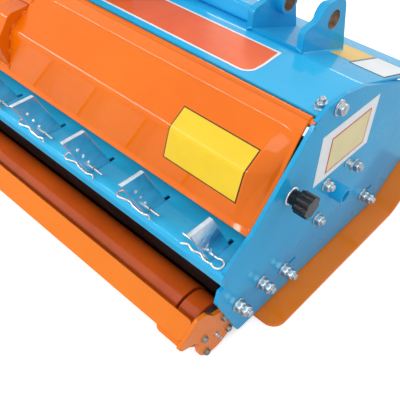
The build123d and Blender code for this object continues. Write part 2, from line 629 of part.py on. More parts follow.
nodes["front_flaps"] = Compound(children=front_flaps)

# Cross beam and lower hitch lugs
slope = atan(DECK_SLOPE)
deck_dir = (cos(slope), -sin(slope))
deck_up = (sin(slope), cos(slope))
lug_right_x = HITCH_OFFSET + LOWER_SPREAD / 2
lug_left_x = HITCH_OFFSET - LOWER_SPREAD / 2
cross_x0 = lug_left_x + LUG_GAP / 2 + LUG_T
cross_x1 = lug_right_x - LUG_GAP / 2 - LUG_T
cross_y = DECK_BEND_Y + deck_dir[0] * (CROSS_SEAT + CROSS_L / 2) + deck_up[0] * CROSS_H / 2
cross_z = DECK_BEND_Z + deck_dir[1] * (CROSS_SEAT + CROSS_L / 2) + deck_up[1] * CROSS_H / 2
cross_place = Pos(cross_y, cross_z) * Rot(0, 0, -degrees(slope))
beam_outer = RectangleRounded(CROSS_L, CROSS_H, CROSS_T * 1.5)
beam_inner = RectangleRounded(CROSS_L - 2 * CROSS_T, CROSS_H - 2 * CROSS_T, CROSS_T * 0.5)
nodes["hitch_crossbeam"] = prism_x(cross_place * (beam_outer - beam_inner), cross_x0, cross_x1)
beam_envelope = prism_x(cross_place * beam_outer, cross_x0, cross_x1)

lug_rows = LUG_OUTLINE + [
    ("front_low", LUG_FRONT_Y, deck_z(LUG_FRONT_Y), 0.0),
    ("rear_low", LUG_REAR_Y, deck_z(LUG_REAR_Y), 0.0),
]
base_outline = [
    (LUG_REAR_Y, deck_z(LUG_REAR_Y)),
    (LUG_REAR_Y, deck_z(LUG_REAR_Y) + BASE_T),
    (LUG_FRONT_Y, deck_z(LUG_FRONT_Y) + BASE_T),
    (LUG_FRONT_Y, deck_z(LUG_FRONT_Y)),
]


def lug_plate(centre_x, sign):
    """One bored plate of a lug, with a bush that stands out towards the other plate."""
    inner, outer = centre_x + sign * LUG_GAP / 2, centre_x + sign * (LUG_GAP / 2 + LUG_T)
    bush_x0, bush_x1 = sorted((outer - sign * BUSH_L, outer))
    plate = plate_x(lug_rows, min(inner, outer), max(inner, outer))
    plate += rod_x(LUG_Y, LUG_Z, BUSH_R, bush_x0, bush_x1)
    plate -= rod_x(LUG_Y, LUG_Z, BORE_R, bush_x0 - CUT_OVER, bush_x1 + CUT_OVER)
    return plate.solids()[0]


lug_plates = [lug_plate(x, sign) for x in (lug_left_x, lug_right_x) for sign in (-1, 1)]
nodes["hitch_lugs"] = Compound(children=lug_plates)
base_plates = [profile_x(base_outline, x - LUG_GAP / 2, x + LUG_GAP / 2) for x in (lug_left_x, lug_right_x)]
nodes["hitch_base_plates"] = Compound(children=base_plates)

# Gearbox, drive tube and input shaft
gear_x = HITCH_OFFSET
front_y = GEAR_Y + GEAR_L / 2
gear_side = gear_x - GEAR_W / 2
gear_far = gear_x + GEAR_W / 2


def rod_y(radius, y0, y1):
    """Round bar along Y on the input shaft's axis."""
    return Pos(gear_x, y0, GEAR_Z) * Rot(-90, 0, 0) * Cylinder(
        radius, y1 - y0, align=(Align.CENTER, Align.CENTER, Align.MIN))


gearbox = Pos(gear_x, GEAR_Y, GEAR_Z) * Box(GEAR_W, GEAR_L, GEAR_H)
gearbox = chamfer(gearbox.edges(), GEAR_EDGE)
gearbox += rod_y(PTO_COLLAR_R, front_y, front_y + PTO_COLLAR_L)
gearbox += rod_x(GEAR_Y, GEAR_Z, DRIVE_FLANGE_R, gear_far, gear_far + DRIVE_FLANGE_T)
input_bore = rod_y(JOURNAL_R + PIN_GAP, front_y - PTO_DEPTH, front_y + PTO_COLLAR_L + CUT_OVER)
nodes["gearbox"] = gearbox - input_bore
stub_y = front_y + PTO_COLLAR_L + JOURNAL_PROUD
journal = rod_y(JOURNAL_R, front_y - PTO_DEPTH + SHAFT_END_GAP, stub_y)
nodes["input_shaft"] = journal + rod_y(PTO_R, stub_y, stub_y + PTO_L)
tube = rod_x(GEAR_Y, GEAR_Z, DRIVE_TUBE_R, -HALF_W, gear_side)
nodes["drive_tube"] = tube + rod_x(GEAR_Y, GEAR_Z, DRIVE_FLANGE_R, gear_side - DRIVE_FLANGE_T, gear_side)

# Mast
mast_in = GEAR_W / 2 + DRIVE_FLANGE_T
head_in = TOP_LINK_GAP / 2
plate_x0, head_x0 = gear_x + mast_in, gear_x + head_in
mast_outline = [
    (MAST_REAR_Y, deck_z(MAST_REAR_Y)),
    (MAST_REAR_Y, MAST_SHOULDER_Z),
    (MAST_NECK_REAR_Y, MAST_STRAIGHT_Z),
    (MAST_FRONT_Y, MAST_STRAIGHT_Z),
    (MAST_FRONT_Y, deck_z(MAST_FRONT_Y)),
    (DECK_BEND_Y, DECK_BEND_Z),
]
neck_w = MAST_FRONT_Y - MAST_NECK_REAR_Y
neck_side = [
    (MAST_NECK_REAR_Y, MAST_STRAIGHT_Z),
    (TOP_LINK_Y - TOP_LUG_R, MAST_HEAD_Z),
    (TOP_LINK_Y + TOP_LUG_R, MAST_HEAD_Z),
    (MAST_FRONT_Y, MAST_STRAIGHT_Z),
]
neck_front = make_face(Polyline(
    (plate_x0, MAST_STRAIGHT_Z), (head_x0, MAST_HEAD_Z),
    (head_x0 + MAST_T, MAST_HEAD_Z), (plate_x0 + MAST_T, MAST_STRAIGHT_Z), close=True))
neck = extrude(Plane.XZ.offset(-MAST_NECK_REAR_Y) * neck_front, amount=neck_w, dir=(0, 1, 0))
head_outline = [
    (TOP_LINK_Y - TOP_LUG_R, MAST_HEAD_Z),
    (TOP_LINK_Y - TOP_LUG_R, TOP_LINK_Z),
    (TOP_LINK_Y + TOP_LUG_R, TOP_LINK_Z),
    (TOP_LINK_Y + TOP_LUG_R, MAST_HEAD_Z),
]
mast = profile_x(mast_outline, plate_x0, plate_x0 + MAST_T)
mast += neck & profile_x(neck_side, head_x0, plate_x0 + MAST_T)
mast += profile_x(head_outline, head_x0, head_x0 + MAST_T)
mast += rod_x(TOP_LINK_Y, TOP_LINK_Z, TOP_LUG_R, head_x0, head_x0 + MAST_T)
mast -= rod_x(TOP_LINK_Y, TOP_LINK_Z, TOP_LINK_R, head_x0 - CUT_OVER, head_x0 + MAST_T + CUT_OVER)
mast -= beam_envelope
nodes["mast_plate_right"] = mast
left_mast = mirror(mast, about=Plane.YZ.offset(gear_x))
left_face = gear_x - mast_in - MAST_T
nodes["mast_plate_left"] = left_mast - rod_x(GEAR_Y, GEAR_Z, DRIVE_TUBE_R, left_face - CUT_OVER, gear_x)

# Belt cover
belt_edges = (Pos(GEAR_Y, GEAR_Z) * Circle(BELT_TOP_R)).edges()
belt_edges += (Pos(ROTOR_Y, ROTOR_Z) * Circle(BELT_LOW_R)).edges()
belt = prism_x(make_hull(belt_edges), -HALF_W - BELT_W, -HALF_W)
room_x0 = -HALF_W - BELT_W / 2 - RUN_GAP
shaft_room = rod_x(ROTOR_Y, ROTOR_Z, ROTOR_SHAFT_R + FACE_GAP, room_x0, -HALF_W + CUT_OVER)
nodes["belt_cover"] = belt - shaft_room

for node, shape in nodes.items():
    print(node, len(shape.solids()), round(shape.volume / 1000), "cm3", shape.is_valid)

box = Compound(children=[s for shape in nodes.values() for s in shape.solids()]).bounding_box()
SHIFT_X, SHIFT_Y = -(box.min.X + box.max.X) / 2, -(box.min.Y + box.max.Y) / 2
print("shift", SHIFT_X, SHIFT_Y, "box", box.min, box.max)
for node, shape in nodes.items():
    export_step(Pos(SHIFT_X, SHIFT_Y, 0) * shape, os.path.join("parts", node + ".step"))
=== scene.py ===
# %% [markdown]
# # A rear flail mulcher
#
# The machine is a welded steel housing with a bulged hood over its rear, a row of flat rake bars, a support
# roller and a black rubber flap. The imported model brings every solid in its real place. This lesson dresses
# it: paint, zinc, rubber, nuts, spring clips, welds and blank stickers. Nothing of the frame is moved.

# %% Load the frame
import json
import math

import bpy
import numpy as np
from mathutils import Matrix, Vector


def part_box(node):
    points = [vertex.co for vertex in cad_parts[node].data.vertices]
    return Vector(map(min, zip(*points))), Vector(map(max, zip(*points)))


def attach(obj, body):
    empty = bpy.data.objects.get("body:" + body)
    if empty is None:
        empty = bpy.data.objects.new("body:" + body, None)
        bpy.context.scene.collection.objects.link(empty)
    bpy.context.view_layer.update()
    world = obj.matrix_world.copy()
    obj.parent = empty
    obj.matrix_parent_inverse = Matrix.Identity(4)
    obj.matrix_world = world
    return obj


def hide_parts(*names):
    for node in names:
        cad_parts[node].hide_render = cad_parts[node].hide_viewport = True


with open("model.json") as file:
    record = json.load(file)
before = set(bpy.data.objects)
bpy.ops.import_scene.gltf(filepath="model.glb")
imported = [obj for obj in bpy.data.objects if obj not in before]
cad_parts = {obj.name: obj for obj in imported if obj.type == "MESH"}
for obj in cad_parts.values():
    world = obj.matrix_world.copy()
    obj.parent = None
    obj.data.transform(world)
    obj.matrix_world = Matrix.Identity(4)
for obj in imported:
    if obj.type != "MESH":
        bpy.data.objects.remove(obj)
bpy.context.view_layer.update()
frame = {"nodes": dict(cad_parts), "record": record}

# %% [markdown]
# Sizes on the machine are easiest to read in millimetres from two edges that can be touched: the outer face
# of the right side plate, and the rear bottom corner of that plate, which stands 55 mm ahead of the
# roller's axis. `place` turns such a reading into metres in the frame.

# %% Where things are
MM = 0.001
rod_low, rod_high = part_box("front_flap_rod")     # this rod ends flush with both side plates
roller_low, roller_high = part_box("roller_tube")
ROLLER_BEHIND_TIP = 0.055
RIGHT_FACE = rod_high.x
LEFT_FACE = rod_low.x
TIP_Y = (roller_low.y + roller_high.y) / 2 + ROLLER_BEHIND_TIP


def place(x, y, z):
    """A point in metres, from millimetres right of the right outer face, forwards of the tip, and up."""
    return np.array([RIGHT_FACE + x * MM, TIP_Y + y * MM, z * MM])


print("right face at", round(RIGHT_FACE, 4), "tip at", round(TIP_Y, 4))

# %% [markdown]
# The camera looks down on the right rear corner from a little over a metre away. Its three axes were worked
# out from the two sets of parallel edges, so the matrix is given directly instead of aiming by hand.

# %% Camera
LENS_SENSOR_MM = 36.0
LENS_FOCAL_MM = 51.96
CAMERA_MM = (352.0, -507.2, 973.8)
AXIS_RIGHT = np.array([0.72991, 0.68329, 0.01824])
AXIS_UP = np.array([-0.49195, 0.50662, 0.70804])

camera_data = bpy.data.cameras.new("camera")
camera_data.sensor_width = LENS_SENSOR_MM
camera_data.lens = LENS_FOCAL_MM
camera_data.clip_start = 0.01
camera = bpy.data.objects.new("camera", camera_data)
bpy.context.scene.collection.objects.link(camera)
back = np.cross(AXIS_RIGHT, AXIS_UP)
pose = np.eye(4)
pose[:3, 0], pose[:3, 1], pose[:3, 2], pose[:3, 3] = AXIS_RIGHT, AXIS_UP, back, place(*CAMERA_MM)
camera.matrix_world = Matrix(pose.tolist())
bpy.context.scene.camera = camera
print("camera at", [round(float(v), 3) for v in pose[:3, 3]])

# %% [markdown]
# A material in Blender is a tree of nodes that ends in a shader. It can be drawn in the node editor, but a
# script that others read is better served by short helpers: add a node, stretch a value, mix two colours.
# The last one rounds the edges for the light alone, as real edges are never sharp, and this costs no faces.

# %% Node helpers


def new_material(name):
    """A material with its shader, and a short way to add and join nodes."""
    material = bpy.data.materials.new(name)
    material.use_nodes = True
    tree = material.node_tree
    shader = tree.nodes["Principled BSDF"]
    return material, tree, shader


def add_node(tree, kind, **values):
    """Adds a node and sets its sockets and settings by name."""
    node = tree.nodes.new(kind)
    for key, value in values.items():
        if key in node.inputs:
            node.inputs[key].default_value = value
        else:
            setattr(node, key, value)
    return node


def noise(tree, scale, detail=3.0, roughness=0.5, stretch=(1.0, 1.0, 1.0)):
    """Noise on Object coordinates; scale is in dapples per metre, stretch squeezes it along an axis."""
    coords = add_node(tree, "ShaderNodeTexCoord")
    squeeze = add_node(tree, "ShaderNodeMapping", Scale=stretch)
    texture = add_node(tree, "ShaderNodeTexNoise", Scale=scale, Detail=detail, Roughness=roughness)
    tree.links.new(coords.outputs["Object"], squeeze.inputs["Vector"])
    tree.links.new(squeeze.outputs["Vector"], texture.inputs["Vector"])
    return texture.outputs["Fac"]


def spread(tree, source, low, high, out_low, out_high):
    """Stretches a value between low and high to between out_low and out_high, and clips it."""
    node = add_node(tree, "ShaderNodeMapRange")
    node.inputs["From Min"].default_value = low
    node.inputs["From Max"].default_value = high
    node.inputs["To Min"].default_value = out_low
    node.inputs["To Max"].default_value = out_high
    tree.links.new(source, node.inputs["Value"])
    return node.outputs["Result"]


def combine(tree, operation, first, second):
    """One value from two by a Math node."""
    node = add_node(tree, "ShaderNodeMath", operation=operation)
    tree.links.new(first, node.inputs[0])
    tree.links.new(second, node.inputs[1])
    return node.outputs[0]


def mix_colour(tree, share, first, second):
    """Mixes two colours, or a colour and a socket, by a share between 0 and 1."""
    node = tree.nodes.new("ShaderNodeMix")
    node.data_type = "RGBA"
    tree.links.new(share, node.inputs[0])
    for socket, value in ((node.inputs[6], first), (node.inputs[7], second)):
        if isinstance(value, bpy.types.NodeSocket):
            tree.links.new(value, socket)
        else:
            socket.default_value = (*value, 1.0)
    return node.outputs[2]


EDGE_ROUND = 0.0018     # metres, for cut edges of plate


def bump(tree, shader, height, strength, distance, edge=EDGE_ROUND):
    """Raises the surface by a height map over edges rounded for the light; distance is in metres."""
    node = add_node(tree, "ShaderNodeBump", Strength=strength, Distance=distance)
    rounded = add_node(tree, "ShaderNodeBevel", Radius=edge, samples=6)
    tree.links.new(rounded.outputs["Normal"], node.inputs["Normal"])
    tree.links.new(height, node.inputs["Height"])
    tree.links.new(node.outputs["Normal"], shader.inputs["Normal"])


print("cut edges look rounded by", EDGE_ROUND, "m")

# %% [markdown]
# A painted surface is one shader, but several scales of detail: a slow drift of the shade across a whole
# panel, the fine dimples of sprayed paint, small lighter scuffs from handling, which on the roller are
# drawn out along its axis and are partly painted highlight streaks, and a thin veil of dust on what faces
# up. They all read Object coordinates, so they stay on the piece from any side. The gloss is a clear coat
# over the colour, because a coat keeps the colour deep where a shiny base would wash it out.

# %% Paint
DUST_COLOUR = (0.50, 0.47, 0.42)
PAINT_SPECULAR = 0.03
COAT_ROUGHNESS = 0.09
SHEET_ROUND = 0.005     # metres, for the wide bends of the deck and the hood


def paint(name, colour, shadow, gloss=0.30, coat=0.55, dust=0.05, scuffs_and_sheen=0.25, edge=EDGE_ROUND,
          lie=(1.0, 3.0, 1.0)):
    """Sprayed and baked paint: shade drift, fine dimples, scuffs, and a veil of dust on what faces up.

    On the roller the scuffs run along its axis and are partly painted highlight streaks.
    """
    material, tree, shader = new_material(name)
    drift = spread(tree, noise(tree, 5.0, 4.0), 0.3, 0.7, 0.0, 1.0)
    body = mix_colour(tree, drift, shadow, colour)
    scuff_and_sheen_mask = spread(tree, noise(tree, 30.0, 8.0, 0.7, lie), 0.64, 0.72, 0.0, scuffs_and_sheen)
    scuff_and_sheen_colour = tuple(0.6 * part + 0.12 for part in colour)
    body = mix_colour(tree, scuff_and_sheen_mask, body, scuff_and_sheen_colour)
    geometry = add_node(tree, "ShaderNodeNewGeometry")
    split = add_node(tree, "ShaderNodeSeparateXYZ")
    tree.links.new(geometry.outputs["Normal"], split.inputs["Vector"])
    facing_up = spread(tree, split.outputs["Z"], 0.2, 1.0, 0.0, dust)
    specks = spread(tree, noise(tree, 60.0, 6.0, 0.65), 0.42, 0.75, 0.0, 1.0)
    dusty = mix_colour(tree, combine(tree, "MULTIPLY", facing_up, specks), body, DUST_COLOUR)
    tree.links.new(dusty, shader.inputs["Base Color"])
    rough = spread(tree, noise(tree, 22.0, 5.0), 0.3, 0.7, gloss - 0.05, gloss + 0.08)
    tree.links.new(combine(tree, "ADD", rough, scuff_and_sheen_mask), shader.inputs["Roughness"])
    shader.inputs["Specular IOR Level"].default_value = PAINT_SPECULAR
    shader.inputs["Coat Weight"].default_value = coat
    shader.inputs["Coat Roughness"].default_value = COAT_ROUGHNESS
    bump(tree, shader, noise(tree, 330.0, 2.0), 0.05, 0.0004, edge)
    return material


MATERIALS = {
    # One blue paint in two copies: the deck's is lighter, painted light on its top, and the side plates' is
    # darker, painted shade.
    "deck_blue": paint("deck_blue_painted_light", (0.030, 0.50, 0.86), (0.022, 0.44, 0.80),
                       dust=0.03, edge=SHEET_ROUND),
    "side_blue": paint("side_blue_painted_shade", (0.014, 0.42, 0.77), (0.010, 0.35, 0.68), coat=0.40),
    "hood_orange": paint("hood_orange_paint", (0.91, 0.182, 0.001), (0.87, 0.158, 0.001),
                         gloss=0.22, coat=0.60, dust=0.02, scuffs_and_sheen=0.12, edge=SHEET_ROUND),
    # Yellower and paler than the hood's orange: painted glare from the floor on the skids and brackets.
    "bracket_orange": paint("bracket_orange_painted_glare", (0.90, 0.220, 0.010), (0.85, 0.190, 0.006),
                            gloss=0.26, dust=0.03),
    # On the roller, the lighter streaks along its axis are partly scuffs and partly painted highlight
    # streaks.
    "roller_orange": paint("roller_orange_paint", (0.74, 0.115, 0.010), (0.46, 0.062, 0.005),
                           gloss=0.16, coat=0.80, dust=0.02, scuffs_and_sheen=0.55, lie=(0.15, 5.0, 5.0)),
    "flap_steel": paint("flap_steel_paint", (0.022, 0.28, 0.52), (0.016, 0.22, 0.44),
                        gloss=0.35, coat=0.20, dust=0.10),
}
print("paints:", sorted(MATERIALS))

# %% [markdown]
# Zinc plate is a bright metal with a faint milky bloom. Wire and ground steel are smoother. Cast iron and
# the rotor's dark primer are rough, with a coarse grain, and the bare bores are brown with rust.

# %% Metals and rubber


def metal(name, bright, dull, rough_low, rough_high, grain, depth, metallic=1.0, stretch=(1.0, 1.0, 1.0)):
    """Bare or plated metal: bloom between two shades, roughness between two values, and a fine grain.

    The grain is in ridges per metre, and its depth is in metres.
    """
    material, tree, shader = new_material(name)
    bloom = spread(tree, noise(tree, 40.0, 6.0, 0.6, stretch), 0.35, 0.65, 0.0, 1.0)
    tree.links.new(mix_colour(tree, bloom, dull, bright), shader.inputs["Base Color"])
    rough = spread(tree, noise(tree, 90.0, 4.0), 0.3, 0.7, rough_low, rough_high)
    tree.links.new(rough, shader.inputs["Roughness"])
    shader.inputs["Metallic"].default_value = metallic
    bump(tree, shader, noise(tree, grain, 3.0, 0.5, stretch), 0.25, depth)
    return material


def rubber(name, colour, worn, cell, depth, gloss=0.5, shine=0.4):
    """Moulded rubber or plastic: a pebbled face from rounded cells, greyer where it rubs.

    The cells are counted per metre, and their depth is in metres.
    """
    material, tree, shader = new_material(name)
    shader.inputs["Specular IOR Level"].default_value = shine
    coords = add_node(tree, "ShaderNodeTexCoord")
    cells = add_node(tree, "ShaderNodeTexVoronoi", Scale=cell)
    tree.links.new(coords.outputs["Object"], cells.inputs["Vector"])
    rub = spread(tree, noise(tree, 18.0, 5.0), 0.45, 0.75, 0.0, 1.0)
    tree.links.new(mix_colour(tree, rub, colour, worn), shader.inputs["Base Color"])
    rough = spread(tree, noise(tree, 35.0, 4.0), 0.3, 0.7, gloss - 0.06, gloss + 0.1)
    tree.links.new(rough, shader.inputs["Roughness"])
    bump(tree, shader, cells.outputs["Distance"], 0.8, depth)
    return material


MATERIALS.update({
    "zinc": metal("zinc_plate", (0.56, 0.62, 0.66), (0.40, 0.46, 0.50), 0.16, 0.30, 700.0, 0.00006),
    # Darker zinc for the bolts on the roller brackets.
    "zinc_dull": metal("zinc_darker", (0.30, 0.32, 0.31), (0.17, 0.18, 0.17), 0.28, 0.45, 500.0, 0.0001),
    # Brighter, bluer zinc for the rake bars: painted reflection of the white and blue around them.
    "tine_zinc_painted_reflection": metal("tine_plate_painted_reflection", (0.78, 0.87, 0.93), (0.58, 0.68, 0.76), 0.14, 0.26, 500.0, 0.00005),
    "chrome": metal("knob_ring_bright", (0.88, 0.88, 0.88), (0.74, 0.74, 0.75), 0.06, 0.14, 500.0, 0.0001),
    "spring_wire": metal("clip_wire", (0.86, 0.86, 0.84), (0.70, 0.70, 0.68), 0.12, 0.24, 600.0, 0.0001),
    "ground_steel": metal("ground_steel", (0.62, 0.62, 0.60), (0.46, 0.45, 0.43), 0.16, 0.30, 420.0, 0.0002),
    "rotor_steel": metal("rotor_primer", (0.10, 0.10, 0.105), (0.05, 0.05, 0.055),
                         0.4, 0.6, 300.0, 0.0006, metallic=0.6),
    "rotor_bolt": metal("rotor_bolt_steel", (0.30, 0.29, 0.28), (0.17, 0.16, 0.15),
                        0.35, 0.55, 400.0, 0.0003, metallic=0.9),
    "flail_steel": metal("flail_forging", (0.16, 0.14, 0.13), (0.08, 0.07, 0.065),
                         0.5, 0.7, 220.0, 0.001, metallic=0.7),
    "cast_dark": metal("cast_case", (0.11, 0.12, 0.13), (0.06, 0.065, 0.07),
                       0.5, 0.7, 260.0, 0.001, metallic=0.3),
    "bore_rust": metal("bore_rust", (0.42, 0.27, 0.15), (0.16, 0.085, 0.045),
                       0.5, 0.8, 350.0, 0.0005, metallic=0.35),
    "knob_black": rubber("knob_moulding", (0.006, 0.006, 0.007), (0.016, 0.016, 0.017),
                         700.0, 0.0001, gloss=0.24),
    "flap_rubber": rubber("flap_pebbled", (0.004, 0.004, 0.005), (0.014, 0.014, 0.015),
                          200.0, 0.0016, gloss=0.62, shine=0.06),
})
print("with metals and rubber:", len(MATERIALS), "materials")

# %% [markdown]
# Stickers and plates are printed film. Film is nearly even in colour, so it gets only a faint cloud of
# rubbing and a soft sheen. One function with two shades serves every colour.

# %% Printed film


def film(name, colour, shade):
    """Printed plastic film: a nearly even colour with faint rubbed cloudiness and a soft sheen."""
    material, tree, shader = new_material(name)
    cloud = spread(tree, noise(tree, 14.0, 6.0, 0.6), 0.35, 0.7, 0.0, 1.0)
    tree.links.new(mix_colour(tree, cloud, shade, colour), shader.inputs["Base Color"])
    rough = spread(tree, noise(tree, 45.0, 4.0), 0.3, 0.7, 0.28, 0.42)
    tree.links.new(rough, shader.inputs["Roughness"])
    shader.inputs["Specular IOR Level"].default_value = 0.35
    bump(tree, shader, noise(tree, 120.0, 2.0), 0.05, 0.0003)
    return material


MATERIALS.update({
    "film_white": film("film_white", (0.92, 0.94, 0.95), (0.84, 0.87, 0.89)),
    "film_orange": film("film_orange", (0.93, 0.155, 0.035), (0.86, 0.130, 0.028)),
    "film_yellow": film("film_yellow", (0.93, 0.58, 0.10), (0.88, 0.52, 0.08)),
    "film_signal": film("film_signal_yellow", (0.95, 0.66, 0.025), (0.90, 0.60, 0.020)),
    "film_cream": film("film_cream", (0.86, 0.76, 0.42), (0.80, 0.69, 0.36)),
    "film_red": film("film_red", (0.72, 0.03, 0.03), (0.62, 0.02, 0.02)),
    "film_black": film("film_black", (0.025, 0.025, 0.03), (0.015, 0.015, 0.02)),
})
print("materials:", len(MATERIALS))

# %% [markdown]
# Every solid of the frame takes its finish from the slot that the record gives it, so a change of slot
# needs no change here. The rake bars alone are brighter and bluer than the rest of their slot, a painted
# reflection of the white and blue around them.

# %% Dress the solids
slot_of = {row["node"]: row["material_slot"] for row in frame["record"]["subparts"]}
for node, obj in frame["nodes"].items():
    for index in range(max(1, len(obj.material_slots))):
        if not obj.material_slots:
            obj.data.materials.append(MATERIALS[slot_of[node]])
        obj.material_slots[index].material = MATERIALS[slot_of[node]]
frame["nodes"]["rake_tines"].material_slots[0].material = MATERIALS["tine_zinc_painted_reflection"]
print("dressed", len(slot_of), "nodes")

# %% [markdown]
# Nuts, washers, rings, studs and nipples are all one kind of shape: a profile turned round an axis.
# Blender's Screw modifier could do it, but here the whole surface is one numpy grid of rings, which is
# quick and exact. A hexagon nut is the same surface with each ring held inside a six-sided outline, and
# this cuts the curved chamfers of a real nut by itself.

# %% Rings and turned surfaces
TURN_SIDES = 24


def skin(rings, looped=False):
    """Surface over a grid of rings.

    Each ring is joined to the next by four-sided faces. The two ends are closed by one vertex each, in the
    middle of the end ring, or, when looped, the last ring is joined to the first.
    """
    count, sides = rings.shape[:2]
    index = np.arange(count * sides).reshape(count, sides)
    after = np.roll(index, -1, axis=1)
    if looped:
        upper, upper_after = np.roll(index, -1, axis=0), np.roll(after, -1, axis=0)
        lower, lower_after = index, after
    else:
        upper, upper_after, lower, lower_after = index[1:], after[1:], index[:-1], after[:-1]
    quads = np.stack([lower, lower_after, upper_after, upper], axis=-1).reshape(-1, 4)
    points = rings.reshape(-1, 3)
    if looped:
        return points, [quads]
    start, end = len(points), len(points) + 1
    points = np.vstack([points, rings[0].mean(axis=0), rings[-1].mean(axis=0)])
    first = np.stack([np.full(sides, start), after[0], index[0]], axis=-1)
    last = np.stack([np.full(sides, end), index[-1], after[-1]], axis=-1)
    return points, [quads, first, last]


def turned(profile, sides=TURN_SIDES, outline=None, looped=False):
    """Profile turned round the X axis, in millimetres.

    A point lies at (along, reach * cos(angle), reach * sin(angle)). The reach is the profile's distance from
    the axis, or the outline's distance at that angle where that is less.
    """
    along, reach = np.array(profile, float).T
    angle = np.linspace(0.0, 2.0 * math.pi, sides, endpoint=False)
    reach = np.repeat(reach[:, None], sides, axis=1)
    if outline is not None:
        reach = np.minimum(reach, outline(angle)[None, :])
    along = np.repeat(along[:, None], sides, axis=1)
    return skin(np.stack([along, reach * np.cos(angle), reach * np.sin(angle)], axis=-1) * MM, looped)


def hexagon(across_flats):
    """Outline of a hexagon: half the width over the flats, divided by the cosine from the nearest flat."""
    def outline(angle):
        turn = np.mod(angle + math.pi / 6, math.pi / 3) - math.pi / 6
        return across_flats / 2 / np.cos(turn)
    return outline


def disc(radius, low, high, edge=0.6):
    """Round plate from low to high along the axis, with a small chamfer on both rims."""
    return turned([(low, radius - edge), (low + edge, radius), (high - edge, radius), (high, radius - edge)])


def ring(outer, inner, low, high, edge=0.5):
    """Round plate with a hole: the profile goes out along the outer wall and back along the bore."""
    walls = [(low, outer - edge), (low + edge, outer), (high - edge, outer), (high, outer - edge),
             (high, inner + edge), (high - edge, inner), (low + edge, inner), (low, inner + edge)]
    return turned(walls, looped=True)


CHAMFER_RISE, CHAMFER_RIM = 0.13, 0.47      # of a nut's face, as shares of its width over the flats
TIP_ROOM, TIP_L, TIP_DROP = 1.5, 1.2, 1.4       # of a thread's coned end


def hex_head(across_flats, low, high):
    """Nut or bolt head: a cylinder with a coned face, held inside a hexagon."""
    corner = across_flats / 2 / math.cos(math.pi / 6)
    cone = np.linspace(0.0, 1.0, 4)
    along = high - CHAMFER_RISE * across_flats * (1 - cone)
    reach = corner - (corner - across_flats * CHAMFER_RIM) * cone
    return turned([(low, corner)] + list(zip(along, reach)), outline=hexagon(across_flats))


def threads(radius, low, high, pitch=2.0, depth=0.45):
    """Threaded end: a zigzag between crest and root, one tooth to each pitch, and a coned tip."""
    teeth = max(2, int((high - low - TIP_ROOM) / pitch))
    step = np.arange(2 * teeth + 1)
    along = low + step * pitch / 2
    reach = radius - depth * (step % 2)
    return turned(list(zip(along, reach)) + [(high - TIP_L, radius), (high, radius - TIP_DROP)], sides=16)


print("nut:", len(hex_head(24.0, 0.0, 13.0)[0]), "points")

# %% [markdown]
# A shape is made once with its axis along X, then turned to face where it belongs and copied to its places.
# Only true rotations are used: a mirror would turn the faces inside out.

# %% Placing and joining


def aim(direction):
    """Rotation that takes the X axis to a direction, from that direction and two axes square to it."""
    forward = np.array(direction, float) / np.linalg.norm(direction)
    side = np.array([0.0, 1.0, 0.0]) if abs(forward[0]) > 0.9 else np.array([1.0, 0.0, 0.0])
    side = side - forward * side.dot(forward)
    side /= np.linalg.norm(side)
    return np.stack([forward, side, np.cross(forward, side)], axis=1)


RIGHTWARDS, LEFTWARDS = (1, 0, 0), (-1, 0, 0)
FORWARDS, UPWARDS = (0, 1, 0), (0, 0, 1)


def copies(shape, spots, direction=RIGHTWARDS):
    """One copy of a shape at each spot, turned to face a direction: turned points plus each spot."""
    points, faces = shape
    spots = np.array(spots, float).reshape(-1, 3)
    turned_points = points @ aim(direction).T
    every = (spots[:, None, :] + turned_points[None, :, :]).reshape(-1, 3)
    step = (np.arange(len(spots)) * len(points))[:, None, None]
    return every, [(block[None, :, :] + step).reshape(-1, block.shape[1]) for block in faces]


def join(*shapes):
    """Several shapes as one: the points one after the other, with the faces' numbers moved on."""
    points, faces, start = [], [], 0
    for shape_points, shape_faces in shapes:
        points.append(shape_points)
        faces += [block + start for block in shape_faces]
        start += len(shape_points)
    return np.vstack(points), faces


def add_piece(name, shape, material, body="chassis", sharp_deg=35.0):
    """Puts a shape into a mesh with smooth faces and sharp corners, and lets it ride on a body."""
    points, faces = shape
    mesh = bpy.data.meshes.new(name)
    mesh.from_pydata(points.tolist(), [], [face for block in faces for face in block.tolist()])
    mesh.shade_smooth()
    mesh.set_sharp_from_angle(angle=math.radians(sharp_deg))
    mesh.materials.append(material)
    piece = bpy.data.objects.new(name, mesh)
    bpy.context.scene.collection.objects.link(piece)
    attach(piece, body)
    print(name, len(points), "points on", body)
    return piece


print("a shape is aimed by three columns:", aim(UPWARDS).round(1).tolist())

# %% [markdown]
# The side plate carries what bolts the inside to it. Four long studs hold the roller bracket and the skid:
# washer, nut, a rounded lock nut and a length of bare thread. Shorter bolts hold the rotor's bearing
# flange, and one bolt closes the top corner. Their places are read off the plate, forwards and up from its
# rear bottom tip.

# %% Fasteners on the side plates
WIDTH_MM = (RIGHT_FACE - LEFT_FACE) / MM
LONG_STUDS = [(-9.0, 109.0), (57.0, 112.0), (130.0, 84.0), (415.0, 88.0)]
FLANGE_NUTS = [(223.0, 157.0), (229.0, 244.0), (332.0, 228.0)]
SMALL_NUT = (311.0, 167.0)
BOLT_TAIL = (298.0, 254.0)
TOP_BOLT = (212.0, 426.0)
DECK_BOLT = (-20.0, 190.0, 427.5)       # on the deck beside the plate: right, forwards and up


def bolt(washer_r, hole_r, washer_t, flats, top):
    """Washer with a hexagon on it; top is the hexagon's height over what the washer lies on."""
    return join(ring(washer_r, hole_r, 0.0, washer_t), hex_head(flats, washer_t, top))


def on_right(rows, x=0.0):
    """Spots x millimetres right of the right side plate's outer face, from rows of forwards and up."""
    return [place(x, y, z) for y, z in rows]


